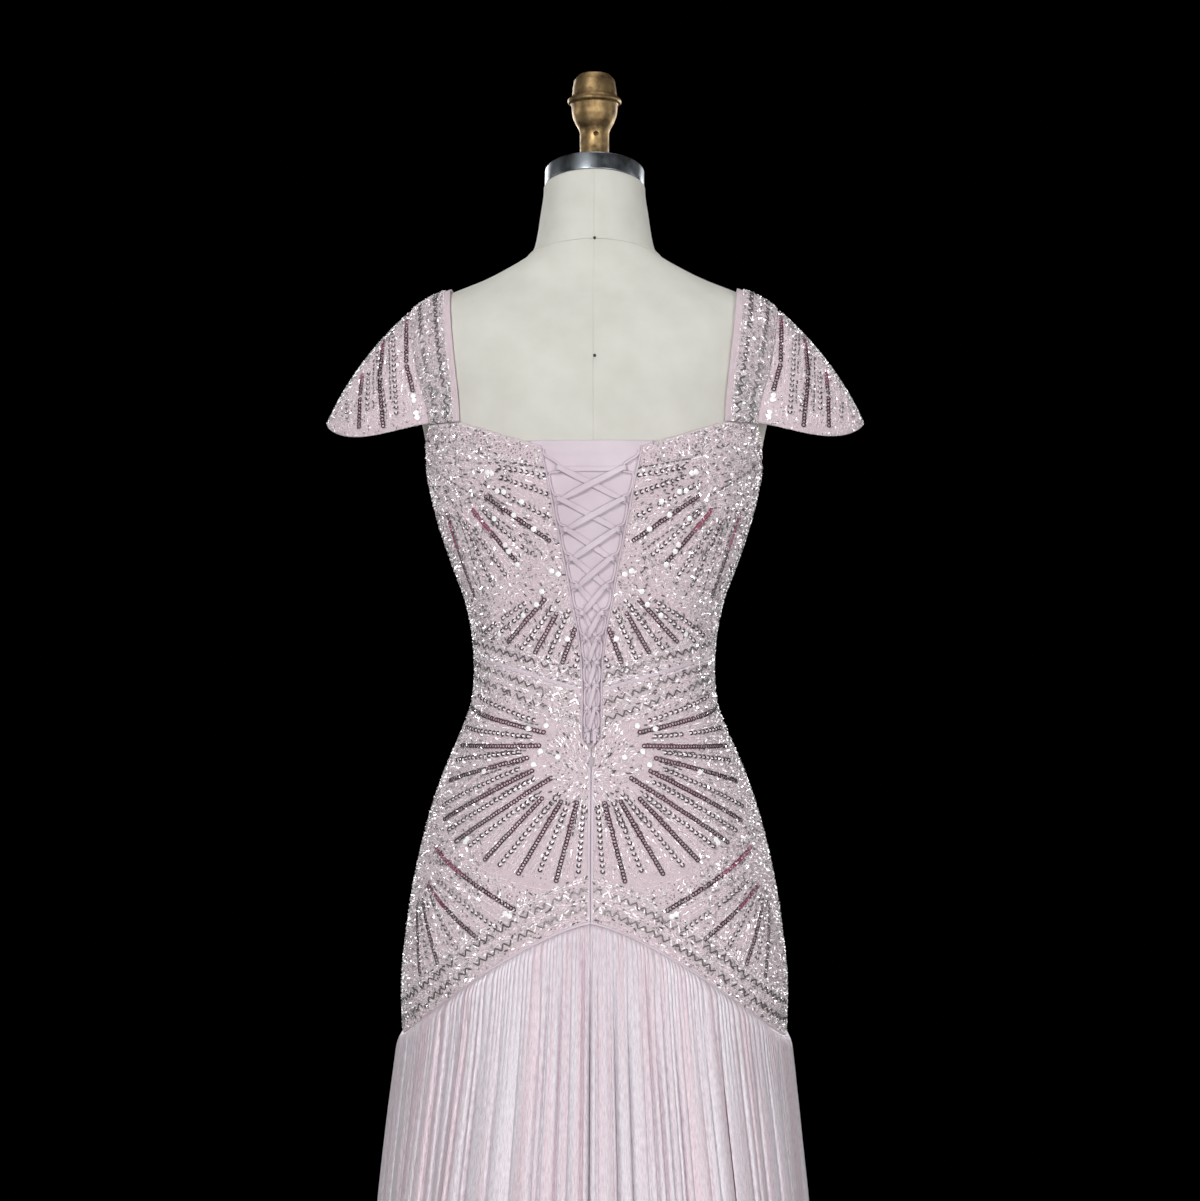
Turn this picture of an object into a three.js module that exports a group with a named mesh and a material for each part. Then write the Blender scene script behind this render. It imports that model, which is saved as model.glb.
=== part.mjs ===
// A beaded evening gown on its limbless dress form, in millimetres.
// +Z is up, the gown's front faces -Y, and the origin is on the floor under the stand's pole.
// Angles run round the body from the centre back (+Y), positive towards +X, the wearer's left.

import * as THREE from 'three';

// Driving sizes of the gown
const CLOTH = 1.3;               // thickness of a beaded panel
const BODY_GAP = 1.7;            // form to cloth
const SEAM_GAP = 0.4;            // between neighbouring pieces
const HALF_SEAM = SEAM_GAP / 2;
const BEAD_RELIEF = 0.9;         // height of the beaded bands over the panel
const BAND_EDGE = 1.3;           // width of a band's rounded edge
const NECK_BAND = 27;
const WAIST_BAND_ABOVE = { from: 4, to: 20 };
const WAIST_BAND_BELOW = { from: 4, to: 33 };
const HIP_BAND = 43;
// The back stands off the form over the modesty panel and the zip tape, and comes down beside them
const BACK_LIFT = { height: 1, from: 2, to: 16 };

const WAIST_SEAM = { centre: 1043, side: 1077 };
const HIP_SEAM = { centre: 838, side: 717, power: 1.35 };
const HEM_HEIGHT = 9;
const STRAP_FOOT = 1294;

// Driving sizes of the dress form
const COLUMNS = 40;              // facets round the body, shared by the form and the gown
const COLUMN_STEP = 2 * Math.PI / COLUMNS;
const NECK_TILT = 0.21;          // the neck's top slopes down towards the front
const NECK_TOP = 1523;
const NECK_RING = { radius: 47.5, height: 18.5, chamfer: 1.2 };
const POLE_RADIUS = 12.5;
const BASE = [
  { radius: 0, z: 0 },
  { radius: 155, z: 0 },
  { radius: 155, z: 9 },
  { radius: 149, z: 14 },
  { radius: 35, z: 18 },
  { radius: 27, z: 26 },
  { radius: 21, z: 48 },
  { radius: 0, z: 48 },
];
// The finial from its stem up; its seat on the neck ring follows the ring's slope
const FINIAL = [
  { radius: 13.9, z: 1578 },
  { radius: 17.5, z: 1588 },
  { radius: 22, z: 1599 },
  { radius: 26, z: 1605.5 },
  { radius: 25.5, z: 1610.5 },
  { radius: 21.4, z: 1613 },
  { radius: 18.2, z: 1628 },
  { radius: 14.5, z: 1633 },
  { radius: 0, z: 1635 },
];
const TURNED_FACETS = 24;        // round the pole, the base, the neck ring and the finial

// Sections of the dress form: height, half width, depth to the front and to the back, tilt of the section
const BODY = [
  { z: 700, half: 176, front: 105, back: 113, tilt: 0 },
  { z: 720, half: 179, front: 106, back: 115, tilt: 0 },
  { z: 760, half: 180, front: 109, back: 119, tilt: 0 },
  { z: 822, half: 174.5, front: 112, back: 125, tilt: 0 },
  { z: 870, half: 166.5, front: 112, back: 123, tilt: 0 },
  { z: 909, half: 157.5, front: 111, back: 118, tilt: 0 },
  { z: 943, half: 147.5, front: 109, back: 110.5, tilt: 0 },
  { z: 975, half: 135.5, front: 104.5, back: 101, tilt: 0 },
  { z: 1005, half: 122.5, front: 99, back: 92, tilt: 0 },
  { z: 1034, half: 113, front: 95, back: 84, tilt: 0 },
  { z: 1062, half: 110.5, front: 92, back: 79.5, tilt: 0 },
  { z: 1091, half: 112, front: 92, back: 79.5, tilt: 0 },
  { z: 1130, half: 119.5, front: 95, back: 84, tilt: 0 },
  { z: 1160, half: 130.5, front: 98, back: 88.5, tilt: 0 },
  { z: 1187, half: 140, front: 102, back: 93, tilt: 0 },
  { z: 1212, half: 147.5, front: 105, back: 96.5, tilt: 0 },
  { z: 1235, half: 153, front: 107, back: 99.2, tilt: 0 },
  { z: 1258, half: 157.5, front: 106, back: 101, tilt: 0 },
  { z: 1283, half: 162, front: 103, back: 102.5, tilt: 0 },
  { z: 1306, half: 167, front: 98.5, back: 103.5, tilt: 0 },
  { z: 1330, half: 172, front: 94, back: 104, tilt: 0 },
  { z: 1365, half: 177, front: 82, back: 99, tilt: 0 },
  { z: 1385, half: 177, front: 72, back: 92, tilt: 0 },
  { z: 1402, half: 172, front: 61, back: 80, tilt: 0 },
  { z: 1412, half: 160, front: 56, back: 73, tilt: 0 },
  { z: 1421, half: 140, front: 51, back: 67, tilt: 0 },
  { z: 1431, half: 115, front: 49, back: 63, tilt: 0 },
  { z: 1441, half: 90, front: 49, back: 61, tilt: 0.1 },
  { z: 1453, half: 64, front: 49, back: 60, tilt: 0.24 },
  { z: 1466, half: 57, front: 51, back: 58, tilt: 0.25 },
  { z: 1495, half: 52, front: 50, back: 52, tilt: 0.23 },
  { z: NECK_TOP, half: 48.5, front: 48.5, back: 48.5, tilt: NECK_TILT },
];
const BODY_POWER = 2.3;          // squareness of the body's sections
const NECK_POWER = 2;            // a plain ellipse
const SHOULDER = { low: 1411, top: 1441 };   // sections round off between these heights
// The bust: angles in degrees, the rest in millimetres; the cloth bridges between the two
const BUST = { depth: 23, angle: 145, spread: 22, z: 1236, above: 46, below: 36, bridge: 3 };

// Sections of the skirt below its seam
const SKIRT = [
  { z: 9, half: 285, front: 255, back: 290 },
  { z: 300, half: 236, front: 195, back: 226 },
  { z: 500, half: 207, front: 159, back: 183 },
  { z: 600, half: 198, front: 143, back: 165 },
  { z: 688, half: 189, front: 128, back: 150 },
  { z: 717, half: 186, front: 124, back: 145 },
  { z: 784, half: 183, front: 119, back: 136 },
  { z: 840, half: 179, front: 117, back: 131 },
];
const SKIRT_POWER = 2.15;
const GORES = 8;
const PLEATS = 25;               // in each gore
const PLEAT_DEPTH = 1.7;
const SKIRT_WALL = 1.5;
const SKIRT_ROWS = [0, 0.62, 0.968, 1];      // from the hem to the seam
const FOLD_FADE = 1.2;           // how fast the broad folds die away towards the seam
// Broad folds: waves round the skirt, their reach at the hem and their phase
const FOLDS = [
  { waves: 26, reach: 7, phase: 0.4 },
  { waves: 17, reach: 5, phase: 1.9 },
  { waves: 9, reach: 4, phase: 0.8 },
];

// Half width of the laced opening in the back
const SLIT = { closed: 992, open: 1001 };
const OPENING = [
  { z: SLIT.closed, half: HALF_SEAM },
  { z: SLIT.open, half: 8 },
  { z: 1047, half: 7.8 },
  { z: 1074.7, half: 8.9 },
  { z: 1102, half: 11.8 },
  { z: 1129.5, half: 17.6 },
  { z: 1147.7, half: 20.4 },
  { z: 1179.6, half: 26.6 },
  { z: 1211.5, half: 33 },
  { z: 1239, half: 38 },
  { z: 1268, half: 44.7 },
];
const MODESTY = { top: 1275, bottom: 1000, under: 12, gap: 0.9, thickness: 0.9, rows: 14 };
const ZIP_TAPE = { half: 13, gap: 0.9, thickness: 0.8, rows: 6 };
// The zip's slider at the foot of the lacing: its height, and its outline as half widths up its length
const SLIDER = { foot: 976, length: 9, thickness: 1.8 };
const SLIDER_OUTLINE = [
  { half: 1.6, up: 0 },
  { half: 2.6, up: 3 },
  { half: 2.6, up: 7.5 },
  { half: 1.4, up: SLIDER.length },
];

// Neckline and armholes: height of the top edge at an angle from the centre back, in degrees
const TOP_EDGE = [
  { angle: 0, z: 1269 },
  { angle: 24, z: 1270 },
  { angle: 40, z: 1280 },
  { angle: 58, z: STRAP_FOOT },
  { angle: 72, z: STRAP_FOOT },
  { angle: 77, z: 1280 },
  { angle: 81, z: 1260 },
  { angle: 90, z: 1245 },
  { angle: 99, z: 1258 },
  { angle: 104, z: 1280 },
  { angle: 108, z: STRAP_FOOT },
  { angle: 122, z: STRAP_FOOT },
  { angle: 140, z: 1288 },
  { angle: 180, z: 1282 },
];

// Loops and lace of the opening
const LOOPS = {
  count: 11, top: 1250, pitch: 28, shrink: 0.85, cord: 1.1, facets: 5,
  foot: 5.6, reach: 6, reachShare: 0.45,
  spread: 0.54,
};
const TOP_LOOP = { reach: 11, spread: 0.74, drop: 6 };
const CORD_START = MODESTY.top - 8;          // the cords start at this height, under the top edge
const LOOP_LEVEL = { edge: 3.5, apex: 5.2 };
const LACE = { width: 4.4, bunched: 3, thickness: 1, low: 3.1, high: 7.3, under: 3.7, over: 5.4 };
const LACE_FULL = { from: 8, to: 20 };       // the lace spreads to its full width between these half widths
const LACE_TURN = { lead: 1.5, shortReach: 0.87, reach: 2.1 };   // round a loop's cord
const LACE_SPANS = { wide: [0.25, 0.5, 0.75], narrow: [0.27, 0.73], wideFrom: 30 };
const LACE_BAR = { inset: 8, drop: 1 };      // the run across the top, under the first loops
// The free ends hang below the lowest loops
const LACE_TAIL = { x: 2.9, level: 5.6, drops: [5.5, 11] };

// Shoulder straps and cap sleeves
const STRAP = {
  innerFoot: 121, innerTop: 135, outerFoot: 150, outerTop: 171, steps: 18, across: 4, gap: 2.6,
};
// The sleeve starts on the strap at an angle and ends in a hem round half an ellipse, both in degrees.
// The hem dips from the tip towards the back's strap foot and rises towards the front's.
const SLEEVE = {
  root: 150, reach: 106, depth: 57, hemTip: 1297, bulge: 15, crown: 0.5,
  steps: 16, down: 4, firstAngle: 1.5, lastAngle: 174, hemStart: 82, rootGap: 0.9,
};
const SLEEVE_HEM = { backDip: 14, dipTurn: 0.85, dipPower: 1.5, frontRise: 12 };

const materials = {
  linen: new THREE.MeshStandardMaterial({ color: 0xd9d7cc, roughness: 0.9 }),
  steel: new THREE.MeshStandardMaterial({ color: 0x8b9296, roughness: 0.3, metalness: 1 }),
  gold: new THREE.MeshStandardMaterial({ color: 0xa58452, roughness: 0.38, metalness: 1 }),
  enamel: new THREE.MeshStandardMaterial({ color: 0x2b2b2d, roughness: 0.45, metalness: 0.6 }),
  beaded: new THREE.MeshStandardMaterial({ color: 0xe3ced6, roughness: 0.55 }),
  satin: new THREE.MeshStandardMaterial({ color: 0xddccd4, roughness: 0.4 }),
  skirt: new THREE.MeshStandardMaterial({ color: 0xdacdd6, roughness: 0.45 }),
  zip: new THREE.MeshStandardMaterial({ color: 0xd8cdd0, roughness: 0.35, metalness: 0.4 }),
};

const gown = new THREE.Group();

function addMesh(name, geometry, material) {
  const mesh = new THREE.Mesh(geometry, material);
  mesh.name = name;
  gown.add(mesh);
  return mesh;
}

// Small helpers

const radians = (degrees) => degrees * Math.PI / 180;
const mix = (a, b, t) => a + (b - a) * t;

function smoothStep(from, to, value) {
  const t = Math.min(1, Math.max(0, (value - from) / (to - from)));
  return t * t * (3 - 2 * t);
}

function straightTable(rows, key, column, value) {
  if (value <= rows[0][key]) return rows[0][column];
  for (let i = 1; i < rows.length; i += 1) {
    if (value <= rows[i][key]) {
      const t = (value - rows[i - 1][key]) / (rows[i][key] - rows[i - 1][key]);
      return mix(rows[i - 1][column], rows[i][column], t);
    }
  }
  return rows[rows.length - 1][column];
}

// A smooth curve through a table, which never swings past its rows
function tableSlope(rows, column, i) {
  if (i === 0 || i === rows.length - 1) return 0;
  const before = (rows[i][column] - rows[i - 1][column]) / (rows[i].z - rows[i - 1].z);
  const after = (rows[i + 1][column] - rows[i][column]) / (rows[i + 1].z - rows[i].z);
  if (before * after <= 0) return 0;
  return 2 * before * after / (before + after);
}

function smoothTable(rows, column, z) {
  const last = rows.length - 1;
  if (z <= rows[0].z) return rows[0][column];
  if (z >= rows[last].z) return rows[last][column];
  let i = 1;
  while (rows[i].z < z) i += 1;
  const step = rows[i].z - rows[i - 1].z;
  const t = (z - rows[i - 1].z) / step;
  const m0 = tableSlope(rows, column, i - 1) * step;
  const m1 = tableSlope(rows, column, i) * step;
  const t2 = t * t;
  const t3 = t2 * t;
  return (2 * t3 - 3 * t2 + 1) * rows[i - 1][column] + (t3 - 2 * t2 + t) * m0
    + (3 * t2 - 2 * t3) * rows[i][column] + (t3 - t2) * m1;
}

// The body's surface

function bustBump(angle, z) {
  const side = Math.abs(THREE.MathUtils.euclideanModulo(angle + Math.PI, 2 * Math.PI) - Math.PI);
  const across = (side - radians(BUST.angle)) / radians(BUST.spread);
  const up = (z - BUST.z) / (z > BUST.z ? BUST.above : BUST.below);
  return BUST.depth * Math.exp(-(across * across + up * up));
}

function sectionRadius(rows, power, angle, z) {
  const depth = smoothTable(rows, Math.cos(angle) > 0 ? 'back' : 'front', z);
  const across = Math.abs(Math.sin(angle)) / smoothTable(rows, 'half', z);
  const along = Math.abs(Math.cos(angle)) / depth;
  return (across ** power + along ** power) ** (-1 / power);
}

function bodyRadius(angle, z) {
  const power = mix(BODY_POWER, NECK_POWER, smoothStep(SHOULDER.low, SHOULDER.top, z));
  return sectionRadius(BODY, power, angle, z) + bustBump(angle, z);
}

function onBody(angle, z) {
  const r = bodyRadius(angle, z);
  return new THREE.Vector3(r * Math.sin(angle), r * Math.cos(angle), z);
}

function bodyNormal(angle, z) {
  const turn = 0.002;
  const rise = 0.5;
  const around = onBody(angle + turn, z).sub(onBody(angle - turn, z));
  const upward = onBody(angle, z + rise).sub(onBody(angle, z - rise));
  return upward.cross(around).normalize();
}

function offBody(angle, z, out) {
  return onBody(angle, z).addScaledVector(bodyNormal(angle, z), out);
}

// Height of the gown's seams and edges at an angle

function widthShare(angle, z) {
  return Math.abs(onBody(angle, z).x) / smoothTable(BODY, 'half', z);
}

const waistSeam = (angle) => mix(WAIST_SEAM.centre, WAIST_SEAM.side, widthShare(angle, WAIST_SEAM.centre));

function hipSeam(angle) {
  const share = widthShare(angle, HIP_SEAM.side) ** HIP_SEAM.power;
  return mix(HIP_SEAM.centre, HIP_SEAM.side, share);
}

function topEdge(angle) {
  const degrees = Math.abs(THREE.MathUtils.radToDeg(angle));
  return straightTable(TOP_EDGE, 'angle', 'z', Math.min(degrees, 360 - degrees));
}

const openingHalf = (z) => straightTable(OPENING, 'z', 'half', z);

// Angle at which the body's back has this distance from the centre plane
function angleAtX(x, z) {
  let angle = 0;
  for (let i = 0; i < 12; i += 1) angle = Math.asin(Math.min(1, x / bodyRadius(angle, z)));
  return angle;
}

function standOff(angle, z) {
  if (Math.cos(angle) > 0) {
    const covered = openingHalf(z) + MODESTY.under;
    const x = Math.abs(onBody(angle, z).x);
    const beside = smoothStep(covered + BACK_LIFT.from, covered + BACK_LIFT.to, x);
    return BODY_GAP + BACK_LIFT.height * (1 - beside);
  }
  return BODY_GAP + BUST.bridge * bustBump(angle, z) / BUST.depth;
}

// Closed bodies from grids and rings of points

function closedGeometry(points, faces) {
  const corners = [];
  let volume = 0;
  for (const [a, b, c] of faces) {
    volume += points[a].dot(new THREE.Vector3().crossVectors(points[b], points[c]));
  }
  for (const [a, b, c] of faces) {
    const order = volume > 0 ? [a, b, c] : [a, c, b];
    for (const k of order) corners.push(points[k].x, points[k].y, points[k].z);
  }
  const geometry = new THREE.BufferGeometry();
  geometry.setAttribute('position', new THREE.Float32BufferAttribute(corners, 3));
  geometry.computeVertexNormals();
  return geometry;
}

// Triangles between two lines of points whose ends lie side by side
function stitch(faces, points, lineA, lineB, flip) {
  let a = 0;
  let b = 0;
  while (a < lineA.length - 1 || b < lineB.length - 1) {
    const canA = a < lineA.length - 1;
    const canB = b < lineB.length - 1;
    let takeA = canA;
    if (canA && canB) {
      const cutA = points[lineA[a + 1]].distanceToSquared(points[lineB[b]]);
      const cutB = points[lineB[b + 1]].distanceToSquared(points[lineA[a]]);
      takeA = cutA <= cutB;
    }
    const face = takeA ? [lineA[a], lineA[a + 1], lineB[b]] : [lineA[a], lineB[b + 1], lineB[b]];
    faces.push(flip ? [face[0], face[2], face[1]] : face);
    if (takeA) a += 1;
    else b += 1;
  }
}

function gridFaces(faces, index, flip) {
  for (let r = 0; r < index.length - 1; r += 1) {
    for (let c = 0; c < index[r].length - 1; c += 1) {
      const a = index[r][c];
      const b = index[r][c + 1];
      const d = index[r + 1][c];
      const e = index[r + 1][c + 1];
      faces.push(flip ? [a, d, b] : [a, b, d]);
      faces.push(flip ? [b, d, e] : [b, e, d]);
    }
  }
}

// A wall between an outer and an inner grid of rows, which may have different numbers of points
function wallGeometry(outer, inner) {
  const points = [];
  const number = (grid) => grid.map((row) => row.map((point) => points.push(point) - 1));
  const out = number(outer);
  const into = number(inner);
  const faces = [];
  gridFaces(faces, out, false);
  gridFaces(faces, into, true);
  const firstOf = (grid) => grid.map((row) => row[0]);
  const lastOf = (grid) => grid.map((row) => row[row.length - 1]);
  stitch(faces, points, out[0], into[0], true);
  stitch(faces, points, out[out.length - 1], into[into.length - 1], false);
  stitch(faces, points, firstOf(out), firstOf(into), false);
  stitch(faces, points, lastOf(out), lastOf(into), true);
  return closedGeometry(points, faces);
}

// A body through rings of points, closed by a fan at each end
function ringGeometry(rings) {
  const points = rings.flat();
  const n = rings[0].length;
  const faces = [];
  for (let r = 0; r < rings.length - 1; r += 1) {
    for (let i = 0; i < n; i += 1) {
      const j = (i + 1) % n;
      faces.push([r * n + i, r * n + j, (r + 1) * n + i], [r * n + j, (r + 1) * n + j, (r + 1) * n + i]);
    }
  }
  const end = (rings.length - 1) * n;
  for (let i = 1; i < n - 1; i += 1) faces.push([0, i + 1, i], [end, end + i, end + i + 1]);
  return closedGeometry(points, faces);
}

// The dress form

function makeTorso() {
  const rings = BODY.map((row) => {
    const ring = [];
    for (let c = 0; c < COLUMNS; c += 1) {
      const point = onBody(c * COLUMN_STEP, row.z);
      point.z += row.tilt * point.y;
      ring.push(point);
    }
    return ring;
  });
  addMesh('form_torso', ringGeometry(rings), materials.linen);
}

function lathe(profile) {
  const points = profile.map(({ radius, z }) => new THREE.Vector2(radius, z));
  return new THREE.LatheGeometry(points, TURNED_FACETS).rotateX(Math.PI / 2);
}

function makeNeckRing() {
  const { radius, height, chamfer } = NECK_RING;
  const profile = [
    { radius: 0, z: 0 },
    { radius: radius - chamfer, z: 0 },
    { radius, z: chamfer },
    { radius, z: height - chamfer },
    { radius: radius - chamfer, z: height },
    { radius: 0, z: height },
  ];
  const mesh = addMesh('form_neck_ring', lathe(profile), materials.steel);
  mesh.position.z = NECK_TOP + SEAM_GAP;
  mesh.rotation.x = Math.atan(NECK_TILT);
}

function makeFinial() {
  const seat = NECK_TOP + NECK_RING.height / Math.cos(Math.atan(NECK_TILT)) + 2 * SEAM_GAP;
  const stem = FINIAL[0].radius;
  const geometry = lathe([{ radius: 0, z: seat }, { radius: stem, z: seat }, ...FINIAL]);
  const position = geometry.attributes.position;
  for (let i = 0; i < position.count; i += 1) {
    if (position.getZ(i) < (seat + FINIAL[0].z) / 2) position.setZ(i, seat + NECK_TILT * position.getY(i));
  }
  geometry.computeVertexNormals();
  addMesh('form_finial', geometry, materials.gold);
}

function makeStand() {
  const foot = BASE[BASE.length - 1].z + SEAM_GAP;
  const top = BODY[0].z - SEAM_GAP;
  const pole = lathe([
    { radius: 0, z: foot },
    { radius: POLE_RADIUS, z: foot },
    { radius: POLE_RADIUS, z: top },
    { radius: 0, z: top },
  ]);
  addMesh('form_pole', pole, materials.enamel);
  addMesh('form_base', lathe(BASE), materials.enamel);
}

// The fitted panels: each row is a height as a function of the angle, with the relief on its outside

function bodiceRows() {
  const above = WAIST_BAND_ABOVE;
  const open = (t) => (angle) => (
    mix(waistSeam(angle) + above.to + BAND_EDGE, topEdge(angle) - NECK_BAND - BAND_EDGE, t));
  const fromWaist = (rise) => (angle) => waistSeam(angle) + rise;
  const fromTop = (drop) => (angle) => topEdge(angle) - drop;
  const outer = [
    { at: fromWaist(HALF_SEAM), relief: 0 },
    { at: fromWaist(above.from), relief: 0 },
    { at: fromWaist(above.from + BAND_EDGE), relief: BEAD_RELIEF },
    { at: fromWaist(above.to), relief: BEAD_RELIEF },
  ];
  for (const t of [0, 0.17, 0.34, 0.5, 0.66, 0.83, 1]) outer.push({ at: open(t), relief: 0 });
  outer.push({ at: fromTop(NECK_BAND), relief: BEAD_RELIEF });
  outer.push({ at: fromTop(HALF_SEAM), relief: BEAD_RELIEF });
  const inner = [outer[0], ...outer.slice(4, 11), outer[12]];
  return { outer, inner };
}

function yokeRows() {
  const below = WAIST_BAND_BELOW;
  const open = (t) => (angle) => (
    mix(hipSeam(angle) + HIP_BAND + BAND_EDGE, waistSeam(angle) - below.to - BAND_EDGE, t));
  const openShare = (z) => {
    const low = HIP_SEAM.centre + HIP_BAND + BAND_EDGE;
    const high = WAIST_SEAM.centre - below.to - BAND_EDGE;
    return (z - low) / (high - low);
  };
  const fromWaist = (drop) => (angle) => waistSeam(angle) - drop;
  const fromHip = (rise) => (angle) => hipSeam(angle) + rise;
  const outer = [
    { at: fromHip(HALF_SEAM), relief: BEAD_RELIEF },
    { at: fromHip(HIP_BAND), relief: BEAD_RELIEF },
  ];
  for (const t of [0, 0.17, 0.34, 0.51, 0.68, openShare(SLIT.closed), openShare(SLIT.open), 1]) {
    outer.push({ at: open(t), relief: 0 });
  }
  outer.push({ at: fromWaist(below.to), relief: BEAD_RELIEF });
  outer.push({ at: fromWaist(below.from + BAND_EDGE), relief: BEAD_RELIEF });
  outer.push({ at: fromWaist(below.from), relief: 0 });
  outer.push({ at: fromWaist(HALF_SEAM), relief: 0 });
  const inner = [outer[0], ...outer.slice(2, 10), outer[13]];
  return { outer, inner };
}

// Angles of a back panel's columns at a height: squeezed between the opening's edge and the third facet
function backAngles(z) {
  const squeezed = 4;
  const edge = angleAtX(Math.max(openingHalf(z), HALF_SEAM), z);
  const angles = [];
  for (let c = 0; c <= COLUMNS / 4; c += 1) {
    const angle = c * COLUMN_STEP;
    angles.push(c < squeezed ? mix(edge, squeezed * COLUMN_STEP, c / squeezed) : angle);
  }
  angles[COLUMNS / 4] -= HALF_SEAM / bodyRadius(Math.PI / 2, z);
  return angles;
}

function frontAngles(z) {
  const angles = [];
  for (let c = COLUMNS / 4; c <= 3 * COLUMNS / 4; c += 1) angles.push(c * COLUMN_STEP);
  const seam = HALF_SEAM / bodyRadius(Math.PI / 2, z);
  angles[0] += seam;
  angles[angles.length - 1] -= seam;
  return angles;
}

// A row's angles depend on its height, and its height on its angles, so the back's are settled in turns
function panelRow(row, anglesAt, out) {
  let angles = anglesAt(row.at(Math.min(...anglesAt(WAIST_SEAM.centre))));
  for (let i = 0; i < 4; i += 1) angles = anglesAt(row.at(angles[0]));
  return angles.map((angle) => {
    const z = row.at(angle);
    return offBody(angle, z, standOff(angle, z) + out(row));
  });
}

function panelGeometry(rows, anglesAt) {
  const outer = rows.outer.map((row) => panelRow(row, anglesAt, (r) => CLOTH + r.relief));
  const inner = rows.inner.map((row) => panelRow(row, anglesAt, () => 0));
  return wallGeometry(outer, inner);
}

function mirrored(geometry) {
  const position = geometry.attributes.position;
  const corners = [];
  for (let i = 0; i < position.count; i += 3) {
    for (const k of [i, i + 2, i + 1]) corners.push(-position.getX(k), position.getY(k), position.getZ(k));
  }
  const copy = new THREE.BufferGeometry();
  copy.setAttribute('position', new THREE.Float32BufferAttribute(corners, 3));
  copy.computeVertexNormals();
  return copy;
}

function addPair(name, geometry, material) {
  addMesh(`${name}_left`, geometry, material);
  addMesh(`${name}_right`, mirrored(geometry), material);
}

function makeBodice() {
  const rows = bodiceRows();
  addMesh('bodice_front', panelGeometry(rows, frontAngles), materials.beaded);
  addPair('bodice_back', panelGeometry(rows, backAngles), materials.beaded);
}

function makeYoke() {
  const rows = yokeRows();
  addMesh('yoke_front', panelGeometry(rows, frontAngles), materials.beaded);
  addPair('yoke_back', panelGeometry(rows, backAngles), materials.beaded);
}

// A flat strip under the centre back, between two heights, as wide as its half width at each height
function underStrip(heights, halfAt, { gap, thickness }) {
  const steps = 6;
  const layer = (out) => heights.map((z) => {
    const half = angleAtX(halfAt(z), z);
    const row = [];
    for (let i = 0; i <= steps; i += 1) row.push(offBody(mix(-half, half, i / steps), z, out));
    return row;
  });
  return wallGeometry(layer(gap + thickness), layer(gap));
}

function evenSteps(from, to, steps) {
  return Array.from({ length: steps + 1 }, (_, i) => mix(from, to, i / steps));
}

function makeBackInsets() {
  const { top, bottom, under, rows } = MODESTY;
  const panel = underStrip(evenSteps(bottom, top, rows), (z) => openingHalf(z) + under, MODESTY);
  addMesh('modesty_panel', panel, materials.satin);
  const tapeHeights = evenSteps(HIP_SEAM.centre + 2, bottom - SEAM_GAP, ZIP_TAPE.rows);
  addMesh('zip_tape', underStrip(tapeHeights, () => ZIP_TAPE.half, ZIP_TAPE), materials.zip);
}

function makeZipSlider() {
  const { foot, length, thickness } = SLIDER;
  const rightSide = SLIDER_OUTLINE.map(({ half, up }) => new THREE.Vector2(half, up));
  const leftSide = SLIDER_OUTLINE.map(({ half, up }) => new THREE.Vector2(-half, up)).reverse();
  const outline = new THREE.Shape([...rightSide, ...leftSide]);
  const geometry = new THREE.ExtrudeGeometry(outline, { depth: thickness, bevelEnabled: false });
  const mesh = addMesh('zip_slider', geometry, materials.zip);
  const lean = Math.atan((onBody(0, foot).y - onBody(0, foot + length).y) / length);
  const out = BODY_GAP + BACK_LIFT.height + CLOTH + SEAM_GAP;
  mesh.position.copy(offBody(0, foot, out));
  mesh.rotation.set(Math.PI / 2 + lean, Math.PI, 0, 'XYZ');
}

// The loops and the lace lie on the back at a distance from the centre plane, a height and a level

function backPoint(x, z, level) {
  return offBody(Math.sign(x) * angleAtX(Math.abs(x), z), z, level);
}

function loopPlaces() {
  const places = [];
  let z = LOOPS.top;
  for (let i = 0; i < LOOPS.count; i += 1) {
    const half = openingHalf(z);
    const isTop = i === 0;
    const reach = isTop ? TOP_LOOP.reach : Math.min(LOOPS.reach, half * LOOPS.reachShare);
    const width = mix(LACE.bunched, LACE.width, smoothStep(LACE_FULL.from, LACE_FULL.to, half));
    const spread = width * (isTop ? TOP_LOOP.spread : LOOPS.spread);
    places.push({ z, apex: half - reach, width, spread });
    z -= LOOPS.pitch - LOOPS.shrink * i;
  }
  return places;
}

// A band or cord along a path: at each point its side direction and the size of its section
function sweep(path, section) {
  const rings = path.map((place, i) => {
    const before = path[Math.max(0, i - 1)].point;
    const after = path[Math.min(path.length - 1, i + 1)].point;
    const along = after.clone().sub(before).normalize();
    const side = place.side.clone().addScaledVector(along, -place.side.dot(along)).normalize();
    const up = new THREE.Vector3().crossVectors(along, side);
    const widen = place.widen ?? 1;
    return section.map(([s, u]) => (
      place.point.clone().addScaledVector(side, s * widen).addScaledVector(up, u)));
  });
  return ringGeometry(rings);
}

const UPWARD = new THREE.Vector3(0, 0, 1);

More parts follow.
